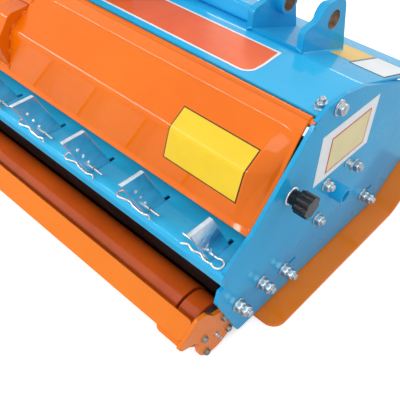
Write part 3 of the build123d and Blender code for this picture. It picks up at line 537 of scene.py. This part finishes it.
def on_left(rows, x=0.0):
    """The mirrored spots at the left side plate."""
    return [place(-WIDTH_MM - x, y, z) for y, z in rows]


def both_sides(shape, rows, x=0.0):
    """A shape at the same spots of both outer faces, each facing away from the housing."""
    return join(copies(shape, on_right(rows, x)), copies(shape, on_left(rows, x), LEFTWARDS))


long_stud = join(bolt(14.5, 7.5, 3.0, 22.0, 14.0), disc(10.0, 14.0, 16.5, 0.8),
                 hex_head(21.0, 16.5, 26.0), threads(7.2, 26.0, 32.5))
flange_nut = join(bolt(14.0, 7.0, 2.5, 21.0, 13.5), threads(6.8, 13.5, 19.0))
small_nut = join(bolt(10.0, 5.0, 2.0, 15.0, 9.5), threads(4.8, 9.5, 12.5))
bolt_tail = join(ring(9.0, 5.0, 0.0, 2.0), threads(5.8, 2.0, 12.0))
top_bolt = join(bolt(15.0, 7.0, 3.0, 22.0, 13.0), disc(6.0, 13.0, 13.6, 0.4))
deck_bolt = join(bolt(13.0, 6.0, 2.5, 19.0, 11.0), threads(5.8, 11.0, 19.0))
side_set = [
    both_sides(long_stud, LONG_STUDS),
    copies(flange_nut, on_right(FLANGE_NUTS)),
    copies(small_nut, on_right([SMALL_NUT])),
    copies(bolt_tail, on_right([BOLT_TAIL])),
    copies(top_bolt, on_right([TOP_BOLT])),
    copies(deck_bolt, [place(*DECK_BOLT)], UPWARDS),
]
add_piece("side_fasteners", join(*side_set), MATERIALS["zinc"])

# %% [markdown]
# Smaller things sit round the axes of the machine: four bolts on a circle of the roller bracket with a
# grease nipple in their middle, a bright ring behind the latch knob, and caps on the hood's hinge pins and
# on the rod of the front flaps. All of them are turned profiles, given as distance along the axis and from
# it.

# %% Pieces round the axes
ROLLER_AXIS = (-55.0, 54.0)
KNOB_AXIS = (110.0, 298.0)
HINGE_AXIS = (154.0, 421.0)
ROD_AXIS = (582.0, 264.0)
BRACKET_FACE = -8.0
BRACKET_BOLT_R = 38.5
HINGE_CAP_LIFT = 0.1
NIPPLE = [(4.0, 3.2), (7.0, 3.2), (8.0, 2.2), (10.0, 2.2), (11.0, 3.1), (12.4, 3.0), (13.2, 1.6)]
ROD_CAP = [(0.0, 13.0), (1.2, 13.4), (2.6, 12.6), (3.4, 9.0), (4.6, 7.6), (5.2, 4.0)]

bolt_turns = np.radians([-27.0, 60.0, 147.0, 228.0])
bracket_rows = list(zip(ROLLER_AXIS[0] + BRACKET_BOLT_R * np.cos(bolt_turns),
                        ROLLER_AXIS[1] + BRACKET_BOLT_R * np.sin(bolt_turns)))
bracket_set = both_sides(bolt(7.5, 4.5, 1.4, 11.5, 6.6), bracket_rows, BRACKET_FACE)
nipple_set = both_sides(join(hex_head(9.0, 0.0, 4.0), turned(NIPPLE, 16)), [ROLLER_AXIS], BRACKET_FACE)
knob_set = both_sides(ring(18.0, 13.6, 0.0, 3.6, 1.4), [KNOB_AXIS])
hinge_set = both_sides(disc(8.6, 0.0, 1.2, 0.4), [HINGE_AXIS], HINGE_CAP_LIFT)
add_piece("bracket_bolts", bracket_set, MATERIALS["zinc_dull"])
add_piece("grease_nipples", nipple_set, MATERIALS["zinc"])
add_piece("knob_rings", knob_set, MATERIALS["chrome"])
add_piece("hinge_caps", hinge_set, MATERIALS["side_blue"])
add_piece("flap_rod_caps", both_sides(turned(ROD_CAP), [ROD_AXIS]), MATERIALS["zinc"])

# %% [markdown]
# Each rake bar is held by a spring clip bent from 4 mm wire. One leg is straight and passes through a hole
# in the bar, then a loop, then a wavy leg that snaps behind the bar's rear edge. A circle is carried along
# the bent line: at each point it stands square to the line, on the line's own side vector and the vertical.

# %% Bent wire
WIRE_R = 2.0
WIRE_SIDES = 10


def smooth_line(knots, steps=5):
    """Curve through all the knots: each stretch is a cubic that starts along its neighbours' line."""
    knots = np.array(knots, float)
    ends = np.vstack([2 * knots[0] - knots[1], knots, 2 * knots[-1] - knots[-2]])
    before, here, there, beyond = (part[:, None, :] for part in (ends[:-3], ends[1:-2], ends[2:-1], ends[3:]))
    share = np.linspace(0.0, 1.0, steps, endpoint=False)[None, :, None]
    run = (there - before) * share
    bend = (2 * before - 5 * here + 4 * there - beyond) * share ** 2
    swing = (3 * here - before - 3 * there + beyond) * share ** 3
    line = 0.5 * (2 * here + run + bend + swing)
    return np.vstack([line.reshape(-1, knots.shape[1]), knots[-1:]])


def wire(path, radius, across, sides=WIRE_SIDES):
    """Round bar along a flat path; across is the direction square to the plane of the path.

    A point lies at path + radius * (cos(angle) * side + sin(angle) * across), where side is across x tangent.
    """
    path = np.array(path, float)
    across = np.array(across, float)
    tangent = np.gradient(path, axis=0)
    tangent /= np.linalg.norm(tangent, axis=1, keepdims=True)
    side = np.cross(across, tangent)
    angle = np.linspace(0.0, 2.0 * math.pi, sides, endpoint=False)
    reach = np.broadcast_to(np.array(radius, float), (len(path),))[:, None, None]
    circle = np.cos(angle)[None, :, None] * side[:, None, :] + np.sin(angle)[None, :, None] * across
    return skin(path[:, None, :] + reach * circle)


print("a bend through 3 knots:", len(smooth_line([(0, 0), (1, 1), (2, 0)])), "points")

# %% [markdown]
# The clips hang at slightly different tilts, as pushed in by hand. Most have their loop on the left, and
# the one at the right-hand bar is put in from the other side, so its line is drawn once more and reversed.

# %% Spring clips on the rake bars
TINE_COUNT, TINE_T = 10, 8.0
tines_low, tines_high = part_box("rake_tines")
TINE_FIRST_X = (tines_high.x - RIGHT_FACE) / MM - TINE_T / 2
TINE_PITCH = ((tines_high.x - tines_low.x) / MM - TINE_T) / (TINE_COUNT - 1)
HOLE_Y, HOLE_Z = -39.1, 239.6
LEG_L = 86.0
LOOP_Y, LOOP_R = -46.8, 10.2
LOOP_TURN = np.radians(np.linspace(50.0, 310.0, 28))
CLIP_TILT_DEG = [2.0, -3.0, 5.0, 0.0, -5.0, 3.0, -1.0, 6.0, 1.0, -4.0]

# Loop's centre along the rake from the bar, and the wavy leg's knots along the rake and forwards
LOOP_FAR = -58.0
WAVE_FAR = [(-49.0, -54.6), (-36.0, -50.8), (-22.0, -54.6), (-8.0, -55.8),
            (4.0, -55.8), (14.0, -51.8), (23.0, -58.0)]
LOOP_NEAR = -19.0
WAVE_NEAR = [(-10.0, -54.8), (-5.0, -55.8), (4.0, -55.8), (16.0, -51.0),
             (30.0, -54.8), (44.0, -50.6), (56.0, -57.5)]


def clip_line(loop_x, wave):
    """One clip seen from above: straight leg, part circle round the loop's centre, wavy leg."""
    loop = np.stack([loop_x + LOOP_R * np.cos(LOOP_TURN), LOOP_Y + LOOP_R * np.sin(LOOP_TURN)], axis=1)
    leg_end = loop_x + LEG_L
    leg = np.array([(leg_end, HOLE_Y), (leg_end - 2.0, HOLE_Y), (0.0, HOLE_Y), (loop_x + 10.0, HOLE_Y)])
    return np.vstack([leg, loop, smooth_line(wave)])


def spring_clip(tine_x, tilt_deg, mirrored):
    """The clip's line at one bar, tilted about its straight leg; mirrored puts the loop on the right."""
    along, back = (clip_line(LOOP_NEAR, WAVE_NEAR) if mirrored else clip_line(LOOP_FAR, WAVE_FAR)).T
    along = -along if mirrored else along
    tilt = math.radians(tilt_deg)
    away = back - HOLE_Y
    flat = np.stack([tine_x + along, HOLE_Y + away * math.cos(tilt), HOLE_Z + away * math.sin(tilt)], axis=1)
    path = flat * MM + place(0.0, 0.0, 0.0)
    return wire(path, WIRE_R * MM, (0.0, -math.sin(tilt), math.cos(tilt)))


clips = [spring_clip(TINE_FIRST_X - TINE_PITCH * i, CLIP_TILT_DEG[i], i == 0) for i in range(TINE_COUNT)]
add_piece("spring_clips", join(*clips), MATERIALS["spring_wire"])

# %% [markdown]
# Welds are low beads with a ripple for each drop of metal. A bead is the same carried circle with a radius
# that rises and falls: radius * (1 + 0.12 * sin(2 pi * distance / ripple)). Half of it is sunk into the
# corner. Where a weld starts and stops, its radius shrinks to a third.

# %% Weld beads
WELD_R = 3.6
WELD_RIPPLE, RIPPLE_SHARE = 3.0, 0.12
END_SHARE = 0.35


def weld(start, end, radius=WELD_R):
    """Rippled bead between two points in millimetres."""
    start, end = np.array(start, float), np.array(end, float)
    length = np.linalg.norm(end - start)
    steps = max(8, int(length / 1.5))
    distance = np.linspace(0.0, length, steps)
    path = start + (end - start) * (distance / length)[:, None]
    ends = np.clip(np.minimum(distance, length - distance) / (1.5 * radius), 0.0, 1.0)
    ripple = 1.0 + RIPPLE_SHARE * np.sin(distance / WELD_RIPPLE * 2.0 * math.pi)
    reach = radius * ripple * (END_SHARE + (1.0 - END_SHARE) * np.sqrt(ends))
    line = (end - start) / length
    across = np.array([1.0, 0.0, 0.0]) if abs(line[0]) < 0.7 else np.array([0.0, 0.0, 1.0])
    across = across - line * across.dot(line)
    return wire(path * MM + place(0, 0, 0), reach * MM, across / np.linalg.norm(across), 8)


print("a weld of 100 mm has", len(weld((0, 0, 0), (100, 0, 0))[0]), "points")

# %% [markdown]
# The hood's box rib is only tacked to the hood, with three short beads on each side of both slopes. The
# lugs and the mast are welded along their whole feet. Each set takes the paint of what it joins.

# %% Tacks on the hood and welds on the deck
DECK_REAR, DECK_BEND = (165.0, 429.0), (305.0, 422.0)       # forwards and up, on the deck's top
REAR_FALL, FRONT_FALL = 0.05, 0.35


def deck_z(y):
    """Height of the deck's top: a gentle fall to the bend across it, then the steeper front."""
    (rear_y, rear_z), (bend_y, bend_z) = DECK_REAR, DECK_BEND
    if y <= bend_y:
        return rear_z - (rear_z - bend_z) * (y - rear_y) / (bend_y - rear_y)
    return bend_z - FRONT_FALL * (y - bend_y)


MIDDLE_X, RIB_HALF = -730.0, 24.0
HOOD_LINE = [(131.0, 408.0), (48.0, 354.0), (23.0, 266.0)]       # crease, ridge and low edge
TACK_STARTS, TACK_SHARE, TACK_R = (0.12, 0.45, 0.80), 0.16, 3.0
tacks = []
for (y0, z0), (y1, z1) in zip(HOOD_LINE[:-1], HOOD_LINE[1:]):
    for share in TACK_STARTS:
        for side in (-1.0, 1.0):
            x = MIDDLE_X + side * RIB_HALF
            at = [(x, y0 + (y1 - y0) * t, z0 + (z1 - z0) * t) for t in (share, share + TACK_SHARE)]
            tacks.append(weld(at[0], at[1], TACK_R))
add_piece("hood_rib_welds", join(*tacks), MATERIALS["hood_orange"], "hood")

LUG_CENTRES = (-211.5, -1036.5)
LUG_IN, LUG_OUT = 52.0, 66.0            # faces of a lug's plates from its centre
LUG_REAR_Y, LUG_RUN = 312.0, (314.0, 466.0)
BASE_T = 8.0
MAST_FACES = (-504.0, -744.0)
MAST_RUNS = [(240.0, 303.0), (307.0, 470.0)]


def deck_weld(x, run):
    """Bead on the deck at x, forwards from the first to the second number of the run."""
    return weld((x, run[0], deck_z(run[0])), (x, run[1], deck_z(run[1])))


rear_z = deck_z(LUG_REAR_Y)
frame_welds = []
for centre in LUG_CENTRES:
    for side in (-1.0, 1.0):
        near, far = centre + side * LUG_IN, centre + side * LUG_OUT
        frame_welds.append(deck_weld(far, LUG_RUN))
        frame_welds.append(weld((near, LUG_REAR_Y, rear_z + BASE_T), (far, LUG_REAR_Y, rear_z + 1.0), 3.2))
for x in MAST_FACES:
    frame_welds += [deck_weld(x, run) for run in MAST_RUNS]
add_piece("frame_welds", join(*frame_welds), MATERIALS["deck_blue"])

# %% [markdown]
# The bores of the lower lugs are left bare for the pins, so they have rusted. A thin sleeve inside each
# bush carries that finish, because one CAD solid has one material.

# %% Bare bores of the lower lugs
BORE_AXIS = (407.0, 453.0)
BUSH_L = 30.0
sleeve = ring(19.3, 18.3, -0.4, BUSH_L + 0.4, 0.2)
bores = []
for centre in LUG_CENTRES:
    bores.append(copies(sleeve, [place(centre + LUG_OUT - BUSH_L, *BORE_AXIS)]))
    bores.append(copies(sleeve, [place(centre - LUG_OUT + BUSH_L, *BORE_AXIS)], LEFTWARDS))
add_piece("lug_bore_sleeves", join(*bores), MATERIALS["bore_rust"])

# %% [markdown]
# Stickers are thin films. Each is a flat outline with a real thickness, and a printed border is the next
# film under a smaller one, so that nothing depends on a picture. All of them are blank. The layers are a
# fraction of a millimetre over each other, enough to stay apart in the render.

# %% Films
FILM_T = 0.35
LAYERS = (0.1, 0.3, 0.5)        # lift of the first film over its plate, and of the ones on it


def slab(outline, direction, thickness):
    """Flat outline with a thickness along a direction: two many-sided faces and a wall of four-sided ones."""
    outline = np.array(outline, float)
    direction = np.array(direction, float) / np.linalg.norm(direction)
    area = np.cross(outline, np.roll(outline, -1, axis=0)).sum(axis=0)
    outline = outline if area.dot(direction) > 0 else outline[::-1]
    count = len(outline)
    index = np.arange(count)
    after = np.roll(index, -1)
    walls = np.stack([index, after, after + count, index + count], axis=-1)
    points = np.vstack([outline, outline + direction * thickness])
    return points * MM + place(0, 0, 0), [walls, (index + count)[None, :], index[::-1][None, :]]


def rectangle(low, high, inset=0.0):
    """Four corners of a rectangle, drawn in from every edge by the inset."""
    (a0, b0), (a1, b1) = np.array(low, float) + inset, np.array(high, float) - inset
    return [(a0, b0), (a1, b0), (a1, b1), (a0, b1)]


def on_plate(outline, lift):
    """Outline of forwards and up on the right side plate's outer face."""
    return slab([(lift, y, z) for y, z in outline], RIGHTWARDS, FILM_T)


def on_deck(outline, lift):
    """Outline of right and forwards on the deck's top, lifted square to it."""
    middle = sum(y for _, y in outline) / len(outline)
    slope = REAR_FALL if middle < DECK_BEND[0] else FRONT_FALL
    up = np.array([0.0, slope, 1.0]) / math.hypot(slope, 1.0)
    return slab([np.array((x, y, deck_z(y))) + up * lift for x, y in outline], up, FILM_T)


print("films are", FILM_T, "mm thick")

# %% [markdown]
# The side plate has a white plate with a cream field in a red line. Three films in one another make it.

# %% The white plate on the side
SIGN_LOW, SIGN_HIGH = (181.0, 266.0), (362.0, 380.0)
LINE_LOW, LINE_HIGH, LINE_W = (214.0, 279.0), (342.0, 360.0), 3.0
sign_line = on_plate(rectangle(LINE_LOW, LINE_HIGH), LAYERS[1])
sign_field = on_plate(rectangle(LINE_LOW, LINE_HIGH, LINE_W), LAYERS[2])
add_piece("side_sign_white", on_plate(rectangle(SIGN_LOW, SIGN_HIGH), LAYERS[0]), MATERIALS["film_white"])
add_piece("side_sign_line", sign_line, MATERIALS["film_red"])
add_piece("side_sign_field", sign_field, MATERIALS["film_cream"])

# %% [markdown]
# The deck has a long orange band with a white edge, and two small plates near its right end. The band's end
# is slanted and has one round corner, which is a quarter of a circle in the outline.

# %% The orange band and the small plates on the deck
BAND_LEFT, BAND_RIGHT, BAND_EDGE = -700.0, -164.0, 5.0
BAND_LOW, BAND_SHOULDER, BAND_TOP = 180.0, 226.0, 284.0
BAND_TIP_X, BAND_CORNER_R = -170.0, 25.0
TIP_INSET = 1.1         # a slanted side steps in by more than the inset where it meets the top
corner_turn = np.radians(np.linspace(0.0, 90.0, 9))


def band(inset):
    """The band's outline: slanted right end, rounded lower corner, drawn in by the inset."""
    right, low, top, radius = BAND_RIGHT - inset, BAND_LOW + inset, BAND_TOP - inset, BAND_CORNER_R - inset
    arc_x = right - radius + radius * np.cos(corner_turn)
    arc_y = low + radius - radius * np.sin(corner_turn)
    arc = np.stack([arc_x, arc_y], axis=1).tolist()
    slant = [(BAND_TIP_X - TIP_INSET * inset, top), (right, BAND_SHOULDER)]
    return [(BAND_LEFT, top)] + slant + arc + [(BAND_LEFT, low)]


PLATE_LOW, PLATE_HIGH = (-90.0, 395.0), (-14.0, 515.0)
yellow_plate = rectangle((-165.0, 408.0), (-93.0, 512.0))
add_piece("deck_band_edge", on_deck(band(0.0), LAYERS[0]), MATERIALS["film_white"])
add_piece("deck_band", on_deck(band(BAND_EDGE), LAYERS[1]), MATERIALS["film_orange"])
add_piece("small_plate_yellow", on_deck(yellow_plate, LAYERS[0]), MATERIALS["film_yellow"])
add_piece("type_plate_edge", on_deck(rectangle(PLATE_LOW, PLATE_HIGH), LAYERS[0]), MATERIALS["film_black"])
add_piece("type_plate", on_deck(rectangle(PLATE_LOW, PLATE_HIGH, 2.5), LAYERS[1]), MATERIALS["film_white"])

# %% [markdown]
# The yellow sticker is folded over the ridge of the hood. Its cross-section is a thin strip that follows
# the sheet: a straight line up, the bend's arc, and a straight line on. That strip is carried along X.

# %% The folded sticker on the hood
HOOD_BEND_R = 20.0
STICKER_X, BORDER = (-226.0, -55.0), 2.0
STICKER_LOW, STICKER_TOP = (31.5, 297.0), (87.0, 379.0)
EDGE_LIFT, STICKER_LIFT = 0.1, 0.35


def bent_line(before, corner, after, radius, lift, steps=10):
    """A line, an arc and a line round a corner, moved outwards by the lift."""
    before, corner, after = (np.array(p, float) for p in (before, corner, after))
    come = (corner - before) / np.linalg.norm(corner - before)
    go = (after - corner) / np.linalg.norm(after - corner)
    out_come, out_go = np.array([-come[1], come[0]]), np.array([-go[1], go[0]])
    half = math.acos(np.clip(come.dot(go), -1.0, 1.0)) / 2
    centre = corner - (out_come + out_go) / np.linalg.norm(out_come + out_go) * radius / math.cos(half)
    turn = np.linspace(0.0, 1.0, steps)[:, None]
    spokes = out_come * (1 - turn) + out_go * turn
    spokes /= np.linalg.norm(spokes, axis=1, keepdims=True)
    return np.vstack([before + out_come * lift, centre + spokes * (radius + lift), after + out_go * lift])


def hood_film(x0, x1, trim, lift):
    """Film over the ridge from the lower slope to the upper one, trimmed at both ends."""
    ridge, low, top = (np.array(spot) for spot in (HOOD_LINE[1], STICKER_LOW, STICKER_TOP))
    low = low + (ridge - low) / np.linalg.norm(ridge - low) * trim
    top = top + (ridge - top) / np.linalg.norm(ridge - top) * trim
    outer = bent_line(low, ridge, top, HOOD_BEND_R, lift + FILM_T)
    inner = bent_line(low, ridge, top, HOOD_BEND_R, lift)
    loop = np.vstack([outer, inner[::-1]])
    return slab([(x0, y, z) for y, z in loop], RIGHTWARDS, x1 - x0)


sticker_edge = hood_film(STICKER_X[0], STICKER_X[1], 0.0, EDGE_LIFT)
sticker = hood_film(STICKER_X[0] + BORDER, STICKER_X[1] - BORDER, BORDER, STICKER_LIFT)
add_piece("hood_plate_edge", sticker_edge, MATERIALS["film_black"], "hood")
add_piece("hood_plate", sticker, MATERIALS["film_signal"], "hood")

# %% [markdown]
# Out of the photograph's view, the same nuts finish what a mulcher of this type has. First comes a bolt
# through each pair of rotor ears, on which a hammer hangs. The hammers stand on a screw line round the
# tube: hammer i is turned by i times the step angle, and its bolt lies at the root radius in that
# direction.

# %% Hammer pins
ROTOR_AXIS = (270.0, 202.0)
HAMMER_ROOT_R = 80.0
HAMMERS, HAMMER_STEP_DEG, HAMMER_SPAN = 18, 100.0, 1326.0
EAR_OUT = 25.0
hammer_x = MIDDLE_X - HAMMER_SPAN / 2 + HAMMER_SPAN * np.arange(HAMMERS) / (HAMMERS - 1)
hammer_turn = np.radians(HAMMER_STEP_DEG * np.arange(HAMMERS))
root_y = ROTOR_AXIS[0] - HAMMER_ROOT_R * np.sin(hammer_turn)
root_z = ROTOR_AXIS[1] + HAMMER_ROOT_R * np.cos(hammer_turn)
pin_nut = join(hex_head(24.0, 0.0, 12.0), threads(7.8, 12.0, 17.0))
head_spots = [place(*spot) for spot in zip(hammer_x + EAR_OUT, root_y, root_z)]
nut_spots = [place(*spot) for spot in zip(hammer_x - EAR_OUT, root_y, root_z)]
pins = join(copies(hex_head(24.0, 0.0, 9.0), head_spots), copies(pin_nut, nut_spots, LEFTWARDS))
add_piece("hammer_pins", pins, MATERIALS["rotor_bolt"], "rotor")

# %% [markdown]
# The gearbox is bolted between the mast plates through its flanges, and has bolts round its input collar
# and its top cover. The cover is a low turned plate with an oil filler in its middle.

# %% Gearbox bolts, cover and filler
GEAR_X, GEAR_Y, GEAR_Z = -624.0, 300.0, 590.0
GEAR_FRONT, GEAR_TOP, COVER_T = 405.0, 690.0, 5.0
FLANGE_BOLT_R, COLLAR_BOLT_R, COVER_BOLT_R = 59.0, 60.0, (58.0, 62.0)
gear_bolt = bolt(10.0, 5.0, 2.0, 17.0, 10.0)


def even_turns(count, start_deg):
    """Cosines and sines of so many even turns, from a start."""
    turn = np.radians(np.arange(count) * 360.0 / count + start_deg)
    return list(zip(np.cos(turn), np.sin(turn)))


flange_rows = [(GEAR_Y + FLANGE_BOLT_R * c, GEAR_Z + FLANGE_BOLT_R * s) for c, s in even_turns(6, 30.0)]
collar_rows = [(GEAR_X + COLLAR_BOLT_R * c, GEAR_Z + COLLAR_BOLT_R * s) for c, s in even_turns(4, 45.0)]
cover_rows = [(GEAR_X + COVER_BOLT_R[0] * c, GEAR_Y + COVER_BOLT_R[1] * s) for c, s in even_turns(6, 0.0)]
gear_set = [
    copies(gear_bolt, [place(MAST_FACES[0], y, z) for y, z in flange_rows]),
    copies(gear_bolt, [place(MAST_FACES[1], y, z) for y, z in flange_rows], LEFTWARDS),
    copies(gear_bolt, [place(x, GEAR_FRONT, z) for x, z in collar_rows], FORWARDS),
    copies(gear_bolt, [place(x, y, GEAR_TOP + COVER_T) for x, y in cover_rows], UPWARDS),
]
cover = turned([(-1.0, 74.0), (4.2, 74.0), (COVER_T, 73.0)], 48)
cover = copies(cover, [place(GEAR_X, GEAR_Y, GEAR_TOP)], UPWARDS)
filler = join(disc(15.0, 0.0, 4.0), hex_head(22.0, 4.0, 14.0), disc(4.0, 14.0, 20.0, 1.0))
filler = copies(filler, [place(GEAR_X, GEAR_Y, GEAR_TOP + COVER_T)], UPWARDS)
add_piece("gearbox_bolts", join(*gear_set), MATERIALS["zinc"])
add_piece("gearbox_cover", cover, MATERIALS["cast_dark"])
add_piece("gearbox_filler", filler, MATERIALS["zinc"])

# %% [markdown]
# The belt cover's rim is two arcs and the two straight lines that touch both. A line that touches two
# circles is turned from the line between their centres by the arc sine of the radii's difference over the
# distance, and the rim's bolts stand square on those lines.

# %% Bolts round the belt cover
BELT_MID_X = -1502.0
BELT_TOP, BELT_TOP_R = (300.0, 590.0), 80.0
BELT_LOW, BELT_LOW_R = (270.0, 202.0), 110.0
run = np.array(BELT_TOP) - np.array(BELT_LOW)
lean = math.asin((BELT_LOW_R - BELT_TOP_R) / np.linalg.norm(run))
run_turn = math.atan2(run[1], run[0])
rim_bolt = bolt(8.0, 4.0, 1.6, 13.0, 7.0)
rim_set = []
for side in (-1.0, 1.0):
    turn = run_turn + side * (math.pi / 2 - lean)
    out = np.array([math.cos(turn), math.sin(turn)])
    for share in (0.1, 0.5, 0.9):
        centre = np.array(BELT_LOW) + run * share
        spot = centre + out * (BELT_LOW_R + (BELT_TOP_R - BELT_LOW_R) * share)
        rim_set.append(copies(rim_bolt, [place(BELT_MID_X, *spot)], (0.0, *out)))
add_piece("belt_cover_bolts", join(*rim_set), MATERIALS["zinc"])

# %% [markdown]
# The input shaft ends in a six-splined stub, which the plain bar of the CAD stands for. Its ridges come
# from an outline again: the outer radius on a ridge, the root radius between, with a short ramp as flank.

# %% Splined input shaft
SPLINES = 6
SPLINE_R, SPLINE_ROOT_R, JOURNAL_R = 17.5, 14.6, 21.0
RIDGE_HALF, FLANK = 0.27, 0.04      # as shares of the turn from one ridge to the next
GROOVE_R = 15.4

# Distance forwards of the tip, and reach from the shaft's axis
STUB = [(430.0, 16.0), (440.0, SPLINE_R), (472.0, SPLINE_R), (474.0, GROOVE_R),
        (481.0, GROOVE_R), (483.0, SPLINE_R), (518.0, SPLINE_R), (522.0, 15.0)]
JOURNAL = [(376.0, 20.4), (377.0, JOURNAL_R), (432.5, JOURNAL_R), (434.0, 19.8)]


def splines(angle):
    """Outer radius on each ridge and root radius between, by how far the angle is from a ridge's middle."""
    off = np.abs(np.mod(angle * SPLINES / (2 * math.pi) + 0.5, 1.0) - 0.5)
    return SPLINE_ROOT_R + (SPLINE_R - SPLINE_ROOT_R) * np.clip((RIDGE_HALF - off) / FLANK, 0.0, 1.0)


shaft_shape = join(turned(JOURNAL, 48), turned(STUB, 144, splines))
shaft = add_piece("splined_shaft", copies(shaft_shape, [place(GEAR_X, 0.0, GEAR_Z)], FORWARDS),
                  MATERIALS["ground_steel"], "input")
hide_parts("input_shaft")

# %% [markdown]
# The studio starts with a pale floor. It glows a little for the eye alone, so that it looks white in the
# picture but sends no more light on to the machine, and it still takes the shadow.

# %% Floor
FLOOR_HALF = 30.0
FLOOR_GLOW = 0.50
floor_mesh = bpy.data.meshes.new("floor")
corners = np.array([[-1, -1, 0], [1, -1, 0], [1, 1, 0], [-1, 1, 0]], float) * FLOOR_HALF
floor_mesh.from_pydata(corners.tolist(), [], [(0, 1, 2, 3)])
floor = bpy.data.objects.new("floor", floor_mesh)
bpy.context.scene.collection.objects.link(floor)
floor_paint, floor_tree, floor_shader = new_material("floor_pale")
floor_shader.inputs["Base Color"].default_value = (0.86, 0.86, 0.86, 1.0)
floor_shader.inputs["Roughness"].default_value = 0.9
floor_shader.inputs["Emission Color"].default_value = (1.0, 1.0, 1.0, 1.0)
floor_eye = add_node(floor_tree, "ShaderNodeLightPath")
floor_glow = spread(floor_tree, floor_eye.outputs["Is Camera Ray"], 0.0, 1.0, 0.0, FLOOR_GLOW)
floor_tree.links.new(floor_glow, floor_shader.inputs["Emission Strength"])
floor_mesh.materials.append(floor_paint)
print("floor:", 2 * FLOOR_HALF, "m square")

# %% [markdown]
# Two soft square lamps light the machine from behind and from the front. Two long strips are there for the
# gloss: each draws a thin bright line along the bends of the hood and the deck. A lamp shines along its own
# downward axis, so it is turned by a pitch and a yaw towards what it lights.

# %% Lamps
AIM_Z = 0.3
LAMPS = [
    {"name": "key", "spot": (1.6, -2.2, 3.2), "size": (2.4, 2.4), "watts": 42.0},
    {"name": "rim", "spot": (1.5, 3.0, 2.6), "size": (2.4, 2.4), "watts": 28.0},
    {"name": "strip_rear", "spot": (-2.6, -1.9, 2.3), "size": (4.6, 0.18), "watts": 66.0},
    {"name": "strip_front", "spot": (-2.0, 3.0, 1.4), "size": (4.0, 0.35), "watts": 26.0},
]
for row in LAMPS:
    lamp_data = bpy.data.lights.new(row["name"], "AREA")
    lamp_data.shape = "RECTANGLE"
    lamp_data.size, lamp_data.size_y = row["size"]
    lamp_data.energy = row["watts"]
    lamp = bpy.data.objects.new(row["name"], lamp_data)
    bpy.context.scene.collection.objects.link(lamp)
    lamp.location = row["spot"]
    lamp.visible_camera = False
    # A strip looks straight across the machine, so that it stays level with the bends
    target_x = row["spot"][0] if row["name"].startswith("strip") else 0.0
    ahead = np.array([target_x, 0.0, AIM_Z]) - np.array(row["spot"])
    pitch = math.atan2(math.hypot(ahead[0], ahead[1]), -ahead[2])
    yaw = math.atan2(ahead[1], ahead[0]) - math.pi / 2
    lamp.rotation_euler = (pitch, 0.0, yaw)
print("lamps:", [row["name"] for row in LAMPS])

# %% [markdown]
# The world is white where the eye, a reflection or clear glass looks at it, and dimmer as a light, so that
# the white background doesn't flatten the shadows. Standard view keeps the colours as they are written.

# %% World
WORLD_LIGHT = 0.58
world = bpy.data.worlds.new("studio")
world.use_nodes = True
bpy.context.scene.world = world
world_tree = world.node_tree
sky = world_tree.nodes["Background"]
sky.inputs["Color"].default_value = (1.0, 1.0, 1.0, 1.0)
ray = add_node(world_tree, "ShaderNodeLightPath").outputs
seen = combine(world_tree, "MAXIMUM", ray["Is Camera Ray"], ray["Is Glossy Ray"])
seen = combine(world_tree, "MAXIMUM", seen, ray["Is Transmission Ray"])
world_tree.links.new(spread(world_tree, seen, 0.0, 1.0, WORLD_LIGHT, 1.0), sky.inputs["Strength"])
bpy.context.scene.view_settings.view_transform = "Standard"
print("world light:", WORLD_LIGHT)
